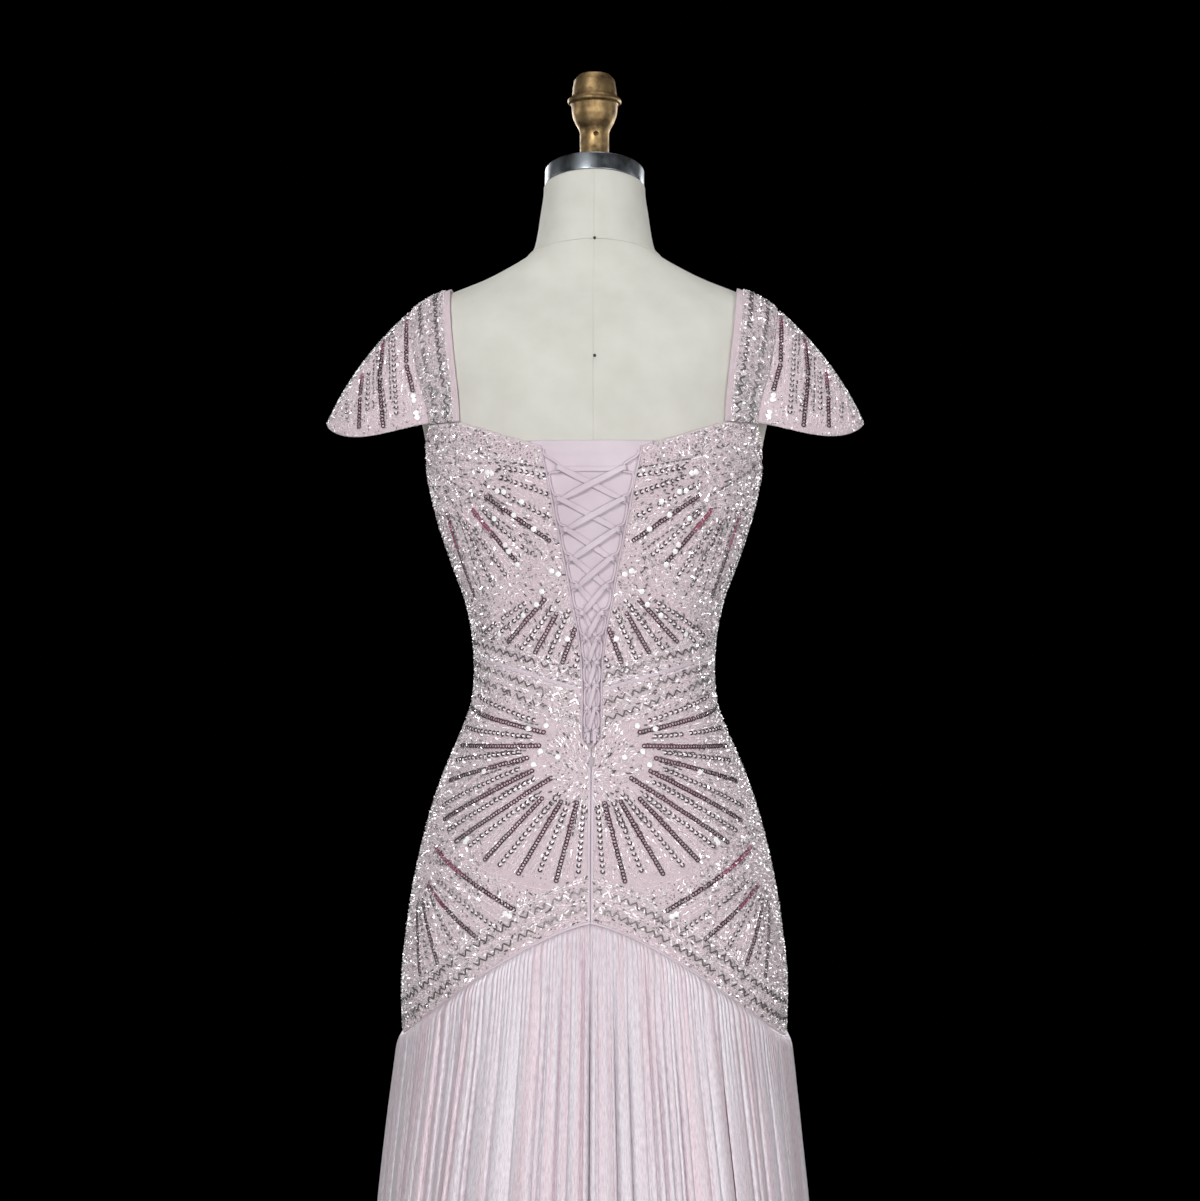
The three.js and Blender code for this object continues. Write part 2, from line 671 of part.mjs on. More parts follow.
function makeLoopCords(places) {
  const cordSection = Array.from({ length: LOOPS.facets }, (_, i) => {
    const turn = 2 * Math.PI * i / LOOPS.facets;
    return [LOOPS.cord * Math.cos(turn), LOOPS.cord * Math.sin(turn)];
  });
  const path = [];
  const add = (x, z, level) => {
    const point = backPoint(x, z, level);
    path.push({ point, side: new THREE.Vector3(point.x, point.y, 0).normalize() });
  };
  const addAtEdge = (z) => add(openingHalf(z) - LOOPS.cord - SEAM_GAP, z, LOOP_LEVEL.edge);
  addAtEdge(CORD_START);
  for (const { z, apex, spread } of places) {
    addAtEdge(z + LOOPS.foot + (z === LOOPS.top ? TOP_LOOP.drop : 0));
    add(apex, z + spread, LOOP_LEVEL.apex);
    add(apex, z - spread, LOOP_LEVEL.apex);
    addAtEdge(z - LOOPS.foot);
  }
  addPair('loop_cord', sweep(path, cordSection), materials.satin);
}

// The lace: up one way through the loops, across the top, and down the other way
function makeLace(places) {
  const { lead, shortReach, reach } = LACE_TURN;
  const path = [];
  const add = (x, z, level, side, width) => {
    path.push({ point: backPoint(x, z, level), side, widen: width / LACE.width });
  };
  const middle = (LACE.low + LACE.high) / 2;

  const turn = (place, sign, upwards) => {
    const levels = [LACE.low, LACE.low, middle - shortReach, middle + shortReach, LACE.high, LACE.high];
    const shifts = [-lead, shortReach, reach, reach, shortReach, -lead];
    for (let i = 0; i < levels.length; i += 1) {
      const k = upwards ? levels.length - 1 - i : i;
      add(sign * (place.apex + shifts[k]), place.z, levels[k], UPWARD.clone(), place.width);
    }
  };

  // The crossing's side direction lies in the cloth, at right angles to the run
  const span = (from, to, sign, level) => {
    const startX = sign * (from.apex - lead);
    const endX = -sign * (to.apex - lead);
    const run = new THREE.Vector2(endX - startX, to.z - from.z).normalize();
    const side = new THREE.Vector3(-run.y, 0, run.x);
    if (side.z < 0) side.negate();
    const wide = Math.abs(endX - startX) > LACE_SPANS.wideFrom;
    for (const t of wide ? LACE_SPANS.wide : LACE_SPANS.narrow) {
      add(mix(startX, endX, t), mix(from.z, to.z, t), level, side.clone(), from.width);
    }
  };

  const last = places.length - 1;
  const tail = (sign, drops) => {
    const side = new THREE.Vector3(0.9, 0, sign * 0.4);
    for (const drop of drops) {
      add(sign * LACE_TAIL.x, places[last].z - drop, LACE_TAIL.level, side.clone(), LACE.bunched);
    }
  };
  let sign = -1;
  tail(sign, LACE_TAIL.drops.toReversed());
  for (let i = last; i > 0; i -= 1) {
    turn(places[i], sign, true);
    span(places[i], places[i - 1], sign, i % 2 === 0 ? LACE.under : LACE.over);
    sign = -sign;
  }
  turn(places[0], sign, true);
  const bar = places[0].apex - LACE_BAR.inset;
  const barHeight = places[0].z - LACE_BAR.drop;
  for (const t of [1, 0, -1]) add(sign * t * bar, barHeight, LACE.low, UPWARD.clone(), LACE.width);
  sign = -sign;
  for (let i = 0; i < last; i += 1) {
    turn(places[i], sign, false);
    span(places[i], places[i + 1], sign, (i + 1) % 2 === 0 ? LACE.over : LACE.under);
    sign = -sign;
  }
  turn(places[last], sign, false);
  tail(sign, LACE_TAIL.drops);
  const w = LACE.width / 2;
  const h = LACE.thickness / 2;
  addMesh('lace', sweep(path, [[-w, -h], [w, -h], [w, h], [-w, h]]), materials.satin);
}

// The shoulder: rays in planes of constant x meet the body from outside

function bodyDistance(point) {
  const radius = Math.hypot(point.x, point.y);
  return radius - bodyRadius(Math.atan2(point.x, point.y), point.z);
}

function bodyGradient(point) {
  const step = 0.4;
  const change = (x, y, z) => {
    const d = new THREE.Vector3(x, y, z);
    return bodyDistance(point.clone().add(d)) - bodyDistance(point.clone().sub(d));
  };
  return new THREE.Vector3(change(step, 0, 0), change(0, step, 0), change(0, 0, step)).normalize();
}

function onShoulder(x, angle) {
  const direction = new THREE.Vector3(0, Math.cos(angle), Math.sin(angle));
  const at = (r) => new THREE.Vector3(x, 0, STRAP_FOOT).addScaledVector(direction, r);
  let outside = 170;
  while (outside > 5 && bodyDistance(at(outside)) > 0) outside -= 1;
  let inside = outside;
  outside += 1;
  for (let i = 0; i < 20; i += 1) {
    const r = (inside + outside) / 2;
    if (bodyDistance(at(r)) > 0) outside = r;
    else inside = r;
  }
  return at(outside);
}

function strapX(angle, across) {
  const lift = Math.sin(angle) ** 2;
  const inner = mix(STRAP.innerFoot, STRAP.innerTop, lift);
  const outer = mix(STRAP.outerFoot, STRAP.outerTop, lift);
  return mix(inner, outer, across);
}

function strapPoint(angle, across, out) {
  const point = onShoulder(strapX(angle, across), angle);
  return point.addScaledVector(bodyGradient(point), out);
}

function makeStraps() {
  const layer = (out) => evenSteps(0, Math.PI, STRAP.steps).map((angle) => (
    evenSteps(0, 1, STRAP.across).map((across) => {
      const point = strapPoint(angle, across, out);
      point.z = Math.max(point.z, STRAP_FOOT + HALF_SEAM);
      return point;
    })));
  addPair('strap', wallGeometry(layer(STRAP.gap + CLOTH), layer(STRAP.gap)), materials.beaded);
}

// A cap sleeve: from the strap's outer edge it bulges up and out, and down to a hem round the arm
function sleeveHemHeight(u) {
  const fromTip = Math.abs(2 * u - 1);
  if (u < 0.5) {
    const dip = Math.sin(SLEEVE_HEM.dipTurn * Math.PI * fromTip) ** SLEEVE_HEM.dipPower;
    return SLEEVE.hemTip - SLEEVE_HEM.backDip * dip;
  }
  return SLEEVE.hemTip + SLEEVE_HEM.frontRise * Math.sin(Math.PI / 2 * fromTip) ** 2;
}

function sleevePoint(u, v) {
  const angle = mix(radians(SLEEVE.firstAngle), radians(SLEEVE.lastAngle), u);
  const root = strapPoint(angle, 1, STRAP.gap + CLOTH / 2);
  const around = mix(radians(SLEEVE.hemStart), -radians(SLEEVE.hemStart), u);
  const hem = new THREE.Vector3(
    SLEEVE.root + SLEEVE.reach * Math.cos(around),
    SLEEVE.depth * Math.sin(around),
    sleeveHemHeight(u),
  );
  const chord = hem.clone().sub(root);
  const outward = new THREE.Vector3(-chord.z, 0, chord.x).normalize();
  outward.y = Math.sin(around) * SLEEVE.crown;
  const start = root.clone().addScaledVector(chord.clone().normalize(), SLEEVE.rootGap);
  const control = start.clone().add(hem).multiplyScalar(0.5)
    .addScaledVector(outward, SLEEVE.bulge * Math.sqrt(Math.sin(Math.PI * u)));
  const curve = new THREE.QuadraticBezierCurve3(start, control, hem);
  return curve.getPoint(v);
}

function makeSleeves() {
  const step = 0.01;
  const half = CLOTH / 2;
  const layer = (out) => evenSteps(0, 1, SLEEVE.steps).map((u) => (
    evenSteps(0, 1, SLEEVE.down).map((v) => {
      const around = sleevePoint(Math.min(1, u + step), v).sub(sleevePoint(Math.max(0, u - step), v));
      const down = sleevePoint(u, Math.min(1, v + step)).sub(sleevePoint(u, Math.max(0, v - step)));
      const normal = down.cross(around).normalize();
      return sleevePoint(u, v).addScaledVector(normal, out);
    })));
  addPair('sleeve', wallGeometry(layer(half), layer(-half)), materials.beaded);
}

// The skirt: gathered into the hip seam, with fine pleats all the way and broad folds towards the hem

// The seam runs straight between the facets' corners, as the yoke's own edge does
function seamPoint(angle, out) {
  const column = Math.floor(angle / COLUMN_STEP + 1e-9);
  const ends = [column, column + 1].map((c) => {
    const corner = c * COLUMN_STEP;
    const z = hipSeam(corner) - HALF_SEAM;
    return offBody(corner, z, standOff(corner, z) + out);
  });
  return ends[0].lerp(ends[1], angle / COLUMN_STEP - column);
}

function skirtPoint(angle, t, out, turn) {
  const top = seamPoint(angle, out);
  const z = mix(HEM_HEIGHT, top.z, t);
  let fold = 0;
  for (const { waves, reach, phase } of FOLDS) fold += reach * Math.sin(waves * angle + phase);
  if (t === 1) return top.add(new THREE.Vector3(Math.cos(angle), -Math.sin(angle), 0).multiplyScalar(turn));
  const radius = sectionRadius(SKIRT, SKIRT_POWER, angle, z) + out + fold * (1 - t) ** FOLD_FADE;
  const turned = angle + turn / radius;
  return new THREE.Vector3(radius * Math.sin(turned), radius * Math.cos(turned), z);
}

function goreGeometry(gore) {
  const steps = 2 * PLEATS;
  const width = 2 * Math.PI / GORES;
  const row = (t, out, everyPoint) => {
    const points = [];
    for (let i = 0; i <= steps; i += everyPoint ? 1 : 2) {
      const angle = gore * width + width * i / steps;
      const pleat = i % 2 === 1 ? PLEAT_DEPTH : 0;
      const atEdge = (i === 0 ? 1 : 0) - (i === steps ? 1 : 0);
      points.push(skirtPoint(angle, t, out + pleat, atEdge * HALF_SEAM));
    }
    return points;
  };
  const outer = SKIRT_ROWS.map((t) => row(t, SKIRT_WALL, true));
  const inner = SKIRT_ROWS.map((t) => row(t, 0, false));
  return wallGeometry(outer, inner);
}

function makeSkirt() {
  for (let gore = 0; gore < GORES; gore += 1) {
    addMesh(`skirt_gore_${gore + 1}`, goreGeometry(gore), materials.skirt);
  }
}

makeTorso();
makeNeckRing();
makeFinial();
makeStand();
makeBodice();
makeYoke();
makeBackInsets();
makeZipSlider();
const places = loopPlaces();
makeLoopCords(places);
makeLace(places);
makeStraps();
makeSleeves();
makeSkirt();

export default gown;
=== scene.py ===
"""A beaded evening gown on a limbless dress form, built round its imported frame.

Sizes in the tables and functions are in millimetres; pieces are made in metres.
Angles run round the body from the centre back (+Y), positive towards +X, the wearer's left.
"""

import math

import bpy
import numpy as np
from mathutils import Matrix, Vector


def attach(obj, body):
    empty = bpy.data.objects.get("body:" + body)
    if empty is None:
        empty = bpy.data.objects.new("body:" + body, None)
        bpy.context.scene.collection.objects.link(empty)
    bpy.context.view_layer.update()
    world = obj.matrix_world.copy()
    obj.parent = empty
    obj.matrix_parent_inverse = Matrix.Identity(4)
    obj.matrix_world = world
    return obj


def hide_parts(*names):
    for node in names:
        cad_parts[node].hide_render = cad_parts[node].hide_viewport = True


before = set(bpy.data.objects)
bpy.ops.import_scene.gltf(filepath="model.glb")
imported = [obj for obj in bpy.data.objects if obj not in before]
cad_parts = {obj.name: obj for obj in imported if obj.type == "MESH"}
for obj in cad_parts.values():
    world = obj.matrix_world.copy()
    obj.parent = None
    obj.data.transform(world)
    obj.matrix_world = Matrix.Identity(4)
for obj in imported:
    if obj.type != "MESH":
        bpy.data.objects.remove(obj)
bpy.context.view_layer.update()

bl_info = {
    "name": "Beaded evening gown",
    "version": (1, 0, 0),
    "blender": (4, 5, 0),
    "location": "3D View > Sidebar > Gown",
    "description": "Builds a beaded evening gown on its dress form",
    "category": "Object",
}

MM = 0.001
PI = math.pi
SIDES = (("left", 1), ("right", -1))

# The gown's cut

CLOTH = 1.3
BODY_GAP = 1.7
HALF_SEAM = 0.2
NECK_BAND = 27
WAIST_SEAM = (1043, 1077)            # at the centre back and at the side
HIP_SEAM = (838, 717, 1.35)          # at the centre back, at the side, power of the curve between
HIP_BAND = 43
HEM_HEIGHT = 9
STRAP_FOOT = 1294
BACK_LIFT = (1, 2, 16)               # height over the inset, and where it comes down beside it
BUST = {"depth": 23, "angle": 145, "spread": 22, "z": 1236, "above": 46, "below": 36, "bridge": 3}
BODY_POWER = 2.3
SHOULDER = (1411, 1441)
NECK_TOP = 1523
NECK_TILT = 0.21

BODY = np.array([   # height, half width, depth to the front, depth to the back, tilt
    (700, 176, 105, 113, 0), (720, 179, 106, 115, 0), (760, 180, 109, 119, 0), (822, 174.5, 112, 125, 0),
    (870, 166.5, 112, 123, 0), (909, 157.5, 111, 118, 0), (943, 147.5, 109, 110.5, 0),
    (975, 135.5, 104.5, 101, 0), (1005, 122.5, 99, 92, 0), (1034, 113, 95, 84, 0),
    (1062, 110.5, 92, 79.5, 0), (1091, 112, 92, 79.5, 0), (1130, 119.5, 95, 84, 0),
    (1160, 130.5, 98, 88.5, 0), (1187, 140, 102, 93, 0), (1212, 147.5, 105, 96.5, 0),
    (1235, 153, 107, 99.2, 0), (1258, 157.5, 106, 101, 0), (1283, 162, 103, 102.5, 0),
    (1306, 167, 98.5, 103.5, 0), (1330, 172, 94, 104, 0), (1365, 177, 82, 99, 0),
    (1385, 177, 72, 92, 0), (1402, 172, 61, 80, 0), (1412, 160, 56, 73, 0), (1421, 140, 51, 67, 0),
    (1431, 115, 49, 63, 0), (1441, 90, 49, 61, 0.1), (1453, 64, 49, 60, 0.24), (1466, 57, 51, 58, 0.25),
    (1495, 52, 50, 52, 0.23), (NECK_TOP, 48.5, 48.5, 48.5, NECK_TILT),
])
SKIRT = np.array([  # height, half width, depth to the front, depth to the back
    (9, 285, 255, 290), (300, 236, 195, 226), (500, 207, 159, 183), (600, 198, 143, 165),
    (688, 189, 128, 150), (717, 186, 124, 145), (784, 183, 119, 136), (840, 179, 117, 131),
])
SKIRT_POWER = 2.15
GORES = 8
OPENING = np.array([  # height, half width of the laced opening
    (992, 0.2), (1001, 8), (1047, 7.8), (1074.7, 8.9), (1102, 11.8), (1129.5, 17.6), (1147.7, 20.4),
    (1179.6, 26.6), (1211.5, 33), (1239, 38), (1268, 44.7),
])
TOP_EDGE = np.array([  # degrees from the centre back, height
    (0, 1269), (24, 1270), (40, 1280), (58, STRAP_FOOT), (72, STRAP_FOOT), (77, 1280), (81, 1260),
    (90, 1245), (99, 1258), (104, 1280), (108, STRAP_FOOT), (122, STRAP_FOOT), (140, 1288), (180, 1282),
])
STRAP = {"inner_foot": 121, "inner_top": 135, "outer_foot": 150, "outer_top": 171, "gap": 2.6}
SLEEVE = {"root": 150, "reach": 106, "depth": 57, "hem_tip": 1297,
          "bulge": 15, "crown": 0.5, "first_angle": 1.5, "last_angle": 174, "hem_start": 82, "root_gap": 0.9}
SLEEVE_HEM = {"back_dip": 14, "dip_turn": 0.85, "dip_power": 1.5, "front_rise": 12}
ZIP_TAPE = {"half": 13.0, "inside": 0.9, "outside": 1.7}
MODESTY = {"top": 1275, "bottom": 1000, "under": 12, "gap": 0.9, "thickness": 0.9}
LOOPS = {"count": 11, "top": 1250, "pitch": 28, "shrink": 0.85, "cord": 1.1, "foot": 5.6, "reach": 6,
         "reach_share": 0.45, "spread": 0.54}
TOP_LOOP = {"reach": 11, "spread": 0.74, "drop": 6}
LOOP_LEVEL = {"edge": 3.5, "apex": 5.2}
LACE = {"width": 4.4, "bunched": 3, "thickness": 1, "low": 3.1, "high": 7.3, "under": 3.7, "over": 5.4}
LACE_SPREAD = 1.3                    # how much wider the lace lies between loops
LACE_TURN = {"lead": 1.5, "short_reach": 0.87, "reach": 2.1}
LACE_TAIL = {"x": 2.9, "level": 5.6, "drops": (5.5, 11)}


# Curves and the body's surface

def mix(a, b, t):
    return a + (b - a) * t


def smooth_step(low, high, value):
    t = np.clip((value - low) / (high - low), 0, 1)
    return t * t * (3 - 2 * t)


def smooth_curve(heights, values):
    """A smooth curve through a table's rows, which never swings past them."""
    steps = np.diff(heights)
    rises = np.diff(values) / steps
    before, after = rises[:-1], rises[1:]
    same = before * after > 0
    slopes = np.zeros(len(values))
    slopes[1:-1][same] = 2 * before[same] * after[same] / (before[same] + after[same])

    def read(z):
        z = np.clip(z, heights[0], heights[-1])
        i = np.clip(np.searchsorted(heights, z, side="right") - 1, 0, len(steps) - 1)
        t = (z - heights[i]) / steps[i]
        t2, t3 = t * t, t * t * t
        return ((2 * t3 - 3 * t2 + 1) * values[i] + (t3 - 2 * t2 + t) * slopes[i] * steps[i]
                + (3 * t2 - 2 * t3) * values[i + 1] + (t3 - t2) * slopes[i + 1] * steps[i])
    return read


def section_curves(table):
    return [smooth_curve(table[:, 0], table[:, k]) for k in (1, 2, 3)]


BODY_CURVES = section_curves(BODY)
SKIRT_CURVES = section_curves(SKIRT)
body_half = BODY_CURVES[0]
body_tilt = smooth_curve(BODY[:, 0], BODY[:, 4])


def section_radius(curves, power, angle, z):
    half, front, back = curves
    across = np.abs(np.sin(angle)) / half(z)
    along = np.abs(np.cos(angle)) / np.where(np.cos(angle) > 0, back(z), front(z))
    return (across ** power + along ** power) ** (-1 / power)


def bust_bump(angle, z):
    side = np.abs((angle + PI) % (2 * PI) - PI)
    across = (side - math.radians(BUST["angle"])) / math.radians(BUST["spread"])
    up = (z - BUST["z"]) / np.where(z > BUST["z"], BUST["above"], BUST["below"])
    return BUST["depth"] * np.exp(-(across ** 2 + up ** 2))


def body_radius(angle, z):
    power = mix(BODY_POWER, 2, smooth_step(*SHOULDER, z))
    return section_radius(BODY_CURVES, power, angle, z) + bust_bump(angle, z)


def on_body(angle, z):
    angle, z = np.broadcast_arrays(np.asarray(angle, float), np.asarray(z, float))
    r = body_radius(angle, z)
    return np.stack([r * np.sin(angle), r * np.cos(angle), z], axis=-1)


def unit(vectors):
    return vectors / np.maximum(np.linalg.norm(vectors, axis=-1, keepdims=True), 1e-12)


def off_body(angle, z, out):
    turn, rise = 0.002, 0.5
    around = on_body(angle + turn, z) - on_body(angle - turn, z)
    upward = on_body(angle, z + rise) - on_body(angle, z - rise)
    normal = unit(np.cross(upward, around))
    return on_body(angle, z) + normal * np.asarray(out, float)[..., None]


def width_share(angle, z):
    return np.abs(on_body(angle, z)[..., 0]) / body_half(z)


def waist_seam(angle):
    return mix(*WAIST_SEAM, width_share(angle, WAIST_SEAM[0]))


def hip_seam(angle):
    centre, side, power = HIP_SEAM
    return mix(centre, side, width_share(angle, side) ** power)


def top_edge(angle):
    degrees = np.abs(np.degrees(angle))
    return np.interp(np.minimum(degrees, 360 - degrees), TOP_EDGE[:, 0], TOP_EDGE[:, 1])


def opening_half(z):
    return np.interp(z, OPENING[:, 0], OPENING[:, 1])


def angle_at_x(x, z):
    """Angle at which the body's back has this distance from the centre plane."""
    angle = np.zeros(np.broadcast(x, z).shape)
    for _ in range(12):
        angle = np.arcsin(np.minimum(1, x / body_radius(angle, z)))
    return angle


def stand_off(angle, z):
    height, near, far = BACK_LIFT
    covered = opening_half(z) + MODESTY["under"]
    x = np.abs(on_body(angle, z)[..., 0])
    back = BODY_GAP + height * (1 - smooth_step(covered + near, covered + far, x))
    front = BODY_GAP + BUST["bridge"] * bust_bump(angle, z) / BUST["depth"]
    return np.where(np.cos(angle) > 0, back, front)


def cloth_top(angle, z, lift=0.0):
    """A point on the outside of the fitted cloth, or a lift over it."""
    return off_body(angle, z, stand_off(angle, z) + CLOTH + lift)


# Lengths round the body, so that beads keep their spacing on the cloth

GIRTH_HEIGHTS = np.arange(690.0, 1341.0, 10.0)
GIRTH_ANGLES = np.linspace(0, PI, 361)


def girth_table():
    points = on_body(GIRTH_ANGLES[None, :], GIRTH_HEIGHTS[:, None])
    steps = np.linalg.norm(np.diff(points, axis=1), axis=2)
    return np.concatenate([np.zeros((len(GIRTH_HEIGHTS), 1)), np.cumsum(steps, axis=1)], axis=1)


GIRTHS = girth_table()


def girth_rows(z):
    place = np.clip((z - GIRTH_HEIGHTS[0]) / 10.0, 0, len(GIRTH_HEIGHTS) - 1.001)
    i = place.astype(int)
    return mix(GIRTHS[i], GIRTHS[i + 1], (place - i)[:, None])


def angle_at(s, z):
    """Angle at a length round the body from the centre back."""
    s, z = np.atleast_1d(np.asarray(s, float)), np.atleast_1d(np.asarray(z, float))
    found = np.empty(len(s))
    for first in range(0, len(s), 4000):
        part = slice(first, first + 4000)
        rows = girth_rows(z[part])
        i = np.clip((rows < s[part, None]).sum(axis=1), 1, rows.shape[1] - 1)
        pick = np.arange(len(rows))
        low, high = rows[pick, i - 1], rows[pick, i]
        t = (s[part] - low) / (high - low)
        found[part] = mix(GIRTH_ANGLES[i - 1], GIRTH_ANGLES[i], t)
    return found


def girth_at_angle(angle, z):
    """Length round the body from the centre back to an angle."""
    angle, z = np.atleast_1d(np.asarray(angle, float)), np.atleast_1d(np.asarray(z, float))
    rows = girth_rows(z)
    return np.array([np.interp(a, GIRTH_ANGLES, row) for a, row in zip(angle, rows)])


def laid_out(x, z):
    """Length round the body of a place given by its distance from the centre plane."""
    return girth_at_angle(angle_at_x(np.atleast_1d(float(x)), float(z)), [z])[0]


# Meshes

def make_mesh(name, points, face_sets, uvs=None, picks=None, smooth=True):
    """A mesh from points in millimetres and arrays of faces with equal numbers of corners."""
    mesh = bpy.data.meshes.new(name)
    corners = np.concatenate([f.ravel() for f in face_sets])
    sizes = np.concatenate([np.full(len(f), f.shape[1]) for f in face_sets])
    mesh.vertices.add(len(points))
    mesh.vertices.foreach_set("co", (np.asarray(points) * MM).ravel())
    mesh.loops.add(len(corners))
    mesh.loops.foreach_set("vertex_index", corners)
    mesh.polygons.add(len(sizes))
    mesh.polygons.foreach_set("loop_start", np.concatenate([[0], np.cumsum(sizes)[:-1]]))
    if uvs is not None:
        layer = mesh.uv_layers.new(name="cut")
        layer.data.foreach_set("uv", np.asarray(uvs)[corners].astype(np.float32).ravel())
    if picks is not None:
        mesh.polygons.foreach_set("material_index", picks)
    mesh.update(calc_edges=True)
    mesh.validate()
    mesh.polygons.foreach_set("use_smooth", np.full(len(mesh.polygons), smooth))
    return mesh


def new_piece(name, mesh, materials, nodes=()):
    """Puts a piece in the scene, on the one body, in place of its nodes of the frame."""
    piece = bpy.data.objects.new(name, mesh)
    bpy.context.scene.collection.objects.link(piece)
    for material in materials:
        mesh.materials.append(material)
    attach(piece, "root")
    if nodes:
        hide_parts(*nodes)
    return piece


def grid_faces(rows, columns, offset=0, closed=False):
    """Quads between the points of a grid; a closed grid's last column joins its first."""
    r = np.arange(rows - 1)[:, None]
    c = np.arange(columns if closed else columns - 1)[None, :]
    d = (c + 1) % columns
    quads = np.stack([r * columns + c, r * columns + d, (r + 1) * columns + d, (r + 1) * columns + c], -1)
    return quads.reshape(-1, 4) + offset


def outward(points, faces):
    """Turns the faces round where they would face into the body that they close."""
    a, b, c = points[faces[:, 0]], points[faces[:, 1]], points[faces[:, 2]]
    volume = (a * np.cross(b, c)).sum()
    if faces.shape[1] == 4:
        volume += (a * np.cross(c, points[faces[:, 3]])).sum()
    return faces if volume > 0 else faces[:, ::-1]


def square_to(tangent, normal):
    """The tangent turned square to the normal."""
    return unit(tangent - normal * (tangent * normal).sum(-1, keepdims=True))


def wall(outer, inner, uv):
    """Points, faces and layout of a closed wall between two grids of the same shape."""
    rows, columns = outer.shape[:2]
    points = np.concatenate([outer.reshape(-1, 3), inner.reshape(-1, 3)])
    n = rows * columns
    index = np.arange(n).reshape(rows, columns)
    border = np.concatenate([index[0, :-1], index[:-1, -1], index[-1, :0:-1], index[:0:-1, 0]])
    after = np.roll(border, -1)
    faces = np.concatenate([
        grid_faces(rows, columns),
        grid_faces(rows, columns, n)[:, ::-1],
        np.stack([after, border, border + n, after + n], -1),
    ])
    layout = np.concatenate([uv.reshape(-1, 2)] * 2)
    return points, outward(points, faces), layout


def closed_rings(rings, ends=None):
    """A body from rings of points, closed by fans of triangles at both ends."""
    rings = np.asarray(rings)
    rows, columns = rings.shape[:2]
    ends = (rings[0].mean(0), rings[-1].mean(0)) if ends is None else ends
    points = np.concatenate([rings.reshape(-1, 3), ends])
    first, last = rows * columns, rows * columns + 1
    k = np.arange(columns)
    after = (k + 1) % columns
    low = (rows - 1) * columns
    caps = np.concatenate([
        np.stack([after, k, np.full(columns, first)], -1),
        np.stack([low + k, low + after, np.full(columns, last)], -1),
    ])
    faces = grid_faces(rows, columns, closed=True)
    turned = outward(points, faces)
    return points, [turned, caps if turned is faces else caps[:, ::-1]]


def sweep(path, sides, section, widths=None):
    """A body along a path: its sides give the direction of the section's width at each point."""
    path = np.asarray(path, float)
    along = unit(np.concatenate([path[1:], path[-1:]]) - np.concatenate([path[:1], path[:-1]]))
    sides = np.asarray(sides, float)
    sides = square_to(sides, along)
    up = np.cross(along, sides)
    widths = np.ones(len(path)) if widths is None else np.asarray(widths)
    section = np.asarray(section, float)
    rings = (path[:, None] + sides[:, None] * section[None, :, :1] * widths[:, None, None]
             + up[:, None] * section[None, :, 1:])
    return closed_rings(rings)


def round_section(radius, facets=8, flat=1.0):
    turn = np.linspace(0, 2 * PI, facets, endpoint=False)
    return np.stack([radius * np.cos(turn), radius * flat * np.sin(turn)], -1)


def joined(bodies):
    """Joins bodies, each with its points and its arrays of faces, into one set of points and faces."""
    points, face_sets, offset = [], [], 0
    for body_points, body_faces in bodies:
        points.append(body_points)
        face_sets.extend(f + offset for f in body_faces)
        offset += len(body_points)
    return np.concatenate(points), face_sets


def solid_piece(name, body, material, nodes=()):
    """A piece made of one closed body, or of a list of them."""
    points, faces = joined(body) if isinstance(body, list) else body
    return new_piece(name, make_mesh(name, points, faces), [material], nodes)


def smooth_path(points, times=4):
    """More points on a smooth curve through a path's points."""
    points = np.asarray(points, float)
    ends = np.concatenate([2 * points[:1] - points[1:2], points, 2 * points[-1:] - points[-2:-1]])
    p0, p1, p2, p3 = ends[:-3], ends[1:-2], ends[2:-1], ends[3:]
    found = []
    for k in range(times):
        t = k / times
        found.append(0.5 * (2 * p1 + (p2 - p0) * t + (2 * p0 - 5 * p1 + 4 * p2 - p3) * t ** 2
                            + (3 * p1 - 3 * p2 + p3 - p0) * t ** 3))
    path = np.stack(found, 1).reshape(-1, points.shape[1])
    return np.concatenate([path, points[-1:]])


def turned_body(profile, facets=96):
    """A turned body from its profile of radii and heights, closed on its axis at both ends."""
    profile = np.asarray(profile, float)
    angle = np.linspace(0, 2 * PI, facets, endpoint=False)
    inner = profile[1:-1]
    rings = np.stack([
        inner[:, :1] * np.sin(angle), inner[:, :1] * np.cos(angle), np.repeat(inner[:, 1:], facets, 1),
    ], -1)
    return closed_rings(rings, [(0, 0, profile[0, 1]), (0, 0, profile[-1, 1])])


def rounded_profile(corners, radius=0.8, steps=4):
    """A profile whose inner corners are rounded off."""
    corners = [np.array(c, float) for c in corners]
    found = [corners[0]]
    for before, corner, after in zip(corners, corners[1:], corners[2:]):
        reach = min(radius, np.linalg.norm(before - corner) / 2.2, np.linalg.norm(after - corner) / 2.2)
        start = corner + (before - corner) / np.linalg.norm(before - corner) * reach
        end = corner + (after - corner) / np.linalg.norm(after - corner) * reach
        for k in range(steps + 1):
            t = k / steps
            found.append((1 - t) ** 2 * start + 2 * t * (1 - t) * corner + t ** 2 * end)
    found.append(corners[-1])
    return np.array(found)


# Materials

def group_socket(group, name, kind, side, value=None):
    socket = group.interface.new_socket(name=name, in_out=side, socket_type=kind)
    if value is not None:
        socket.default_value = value
    return socket


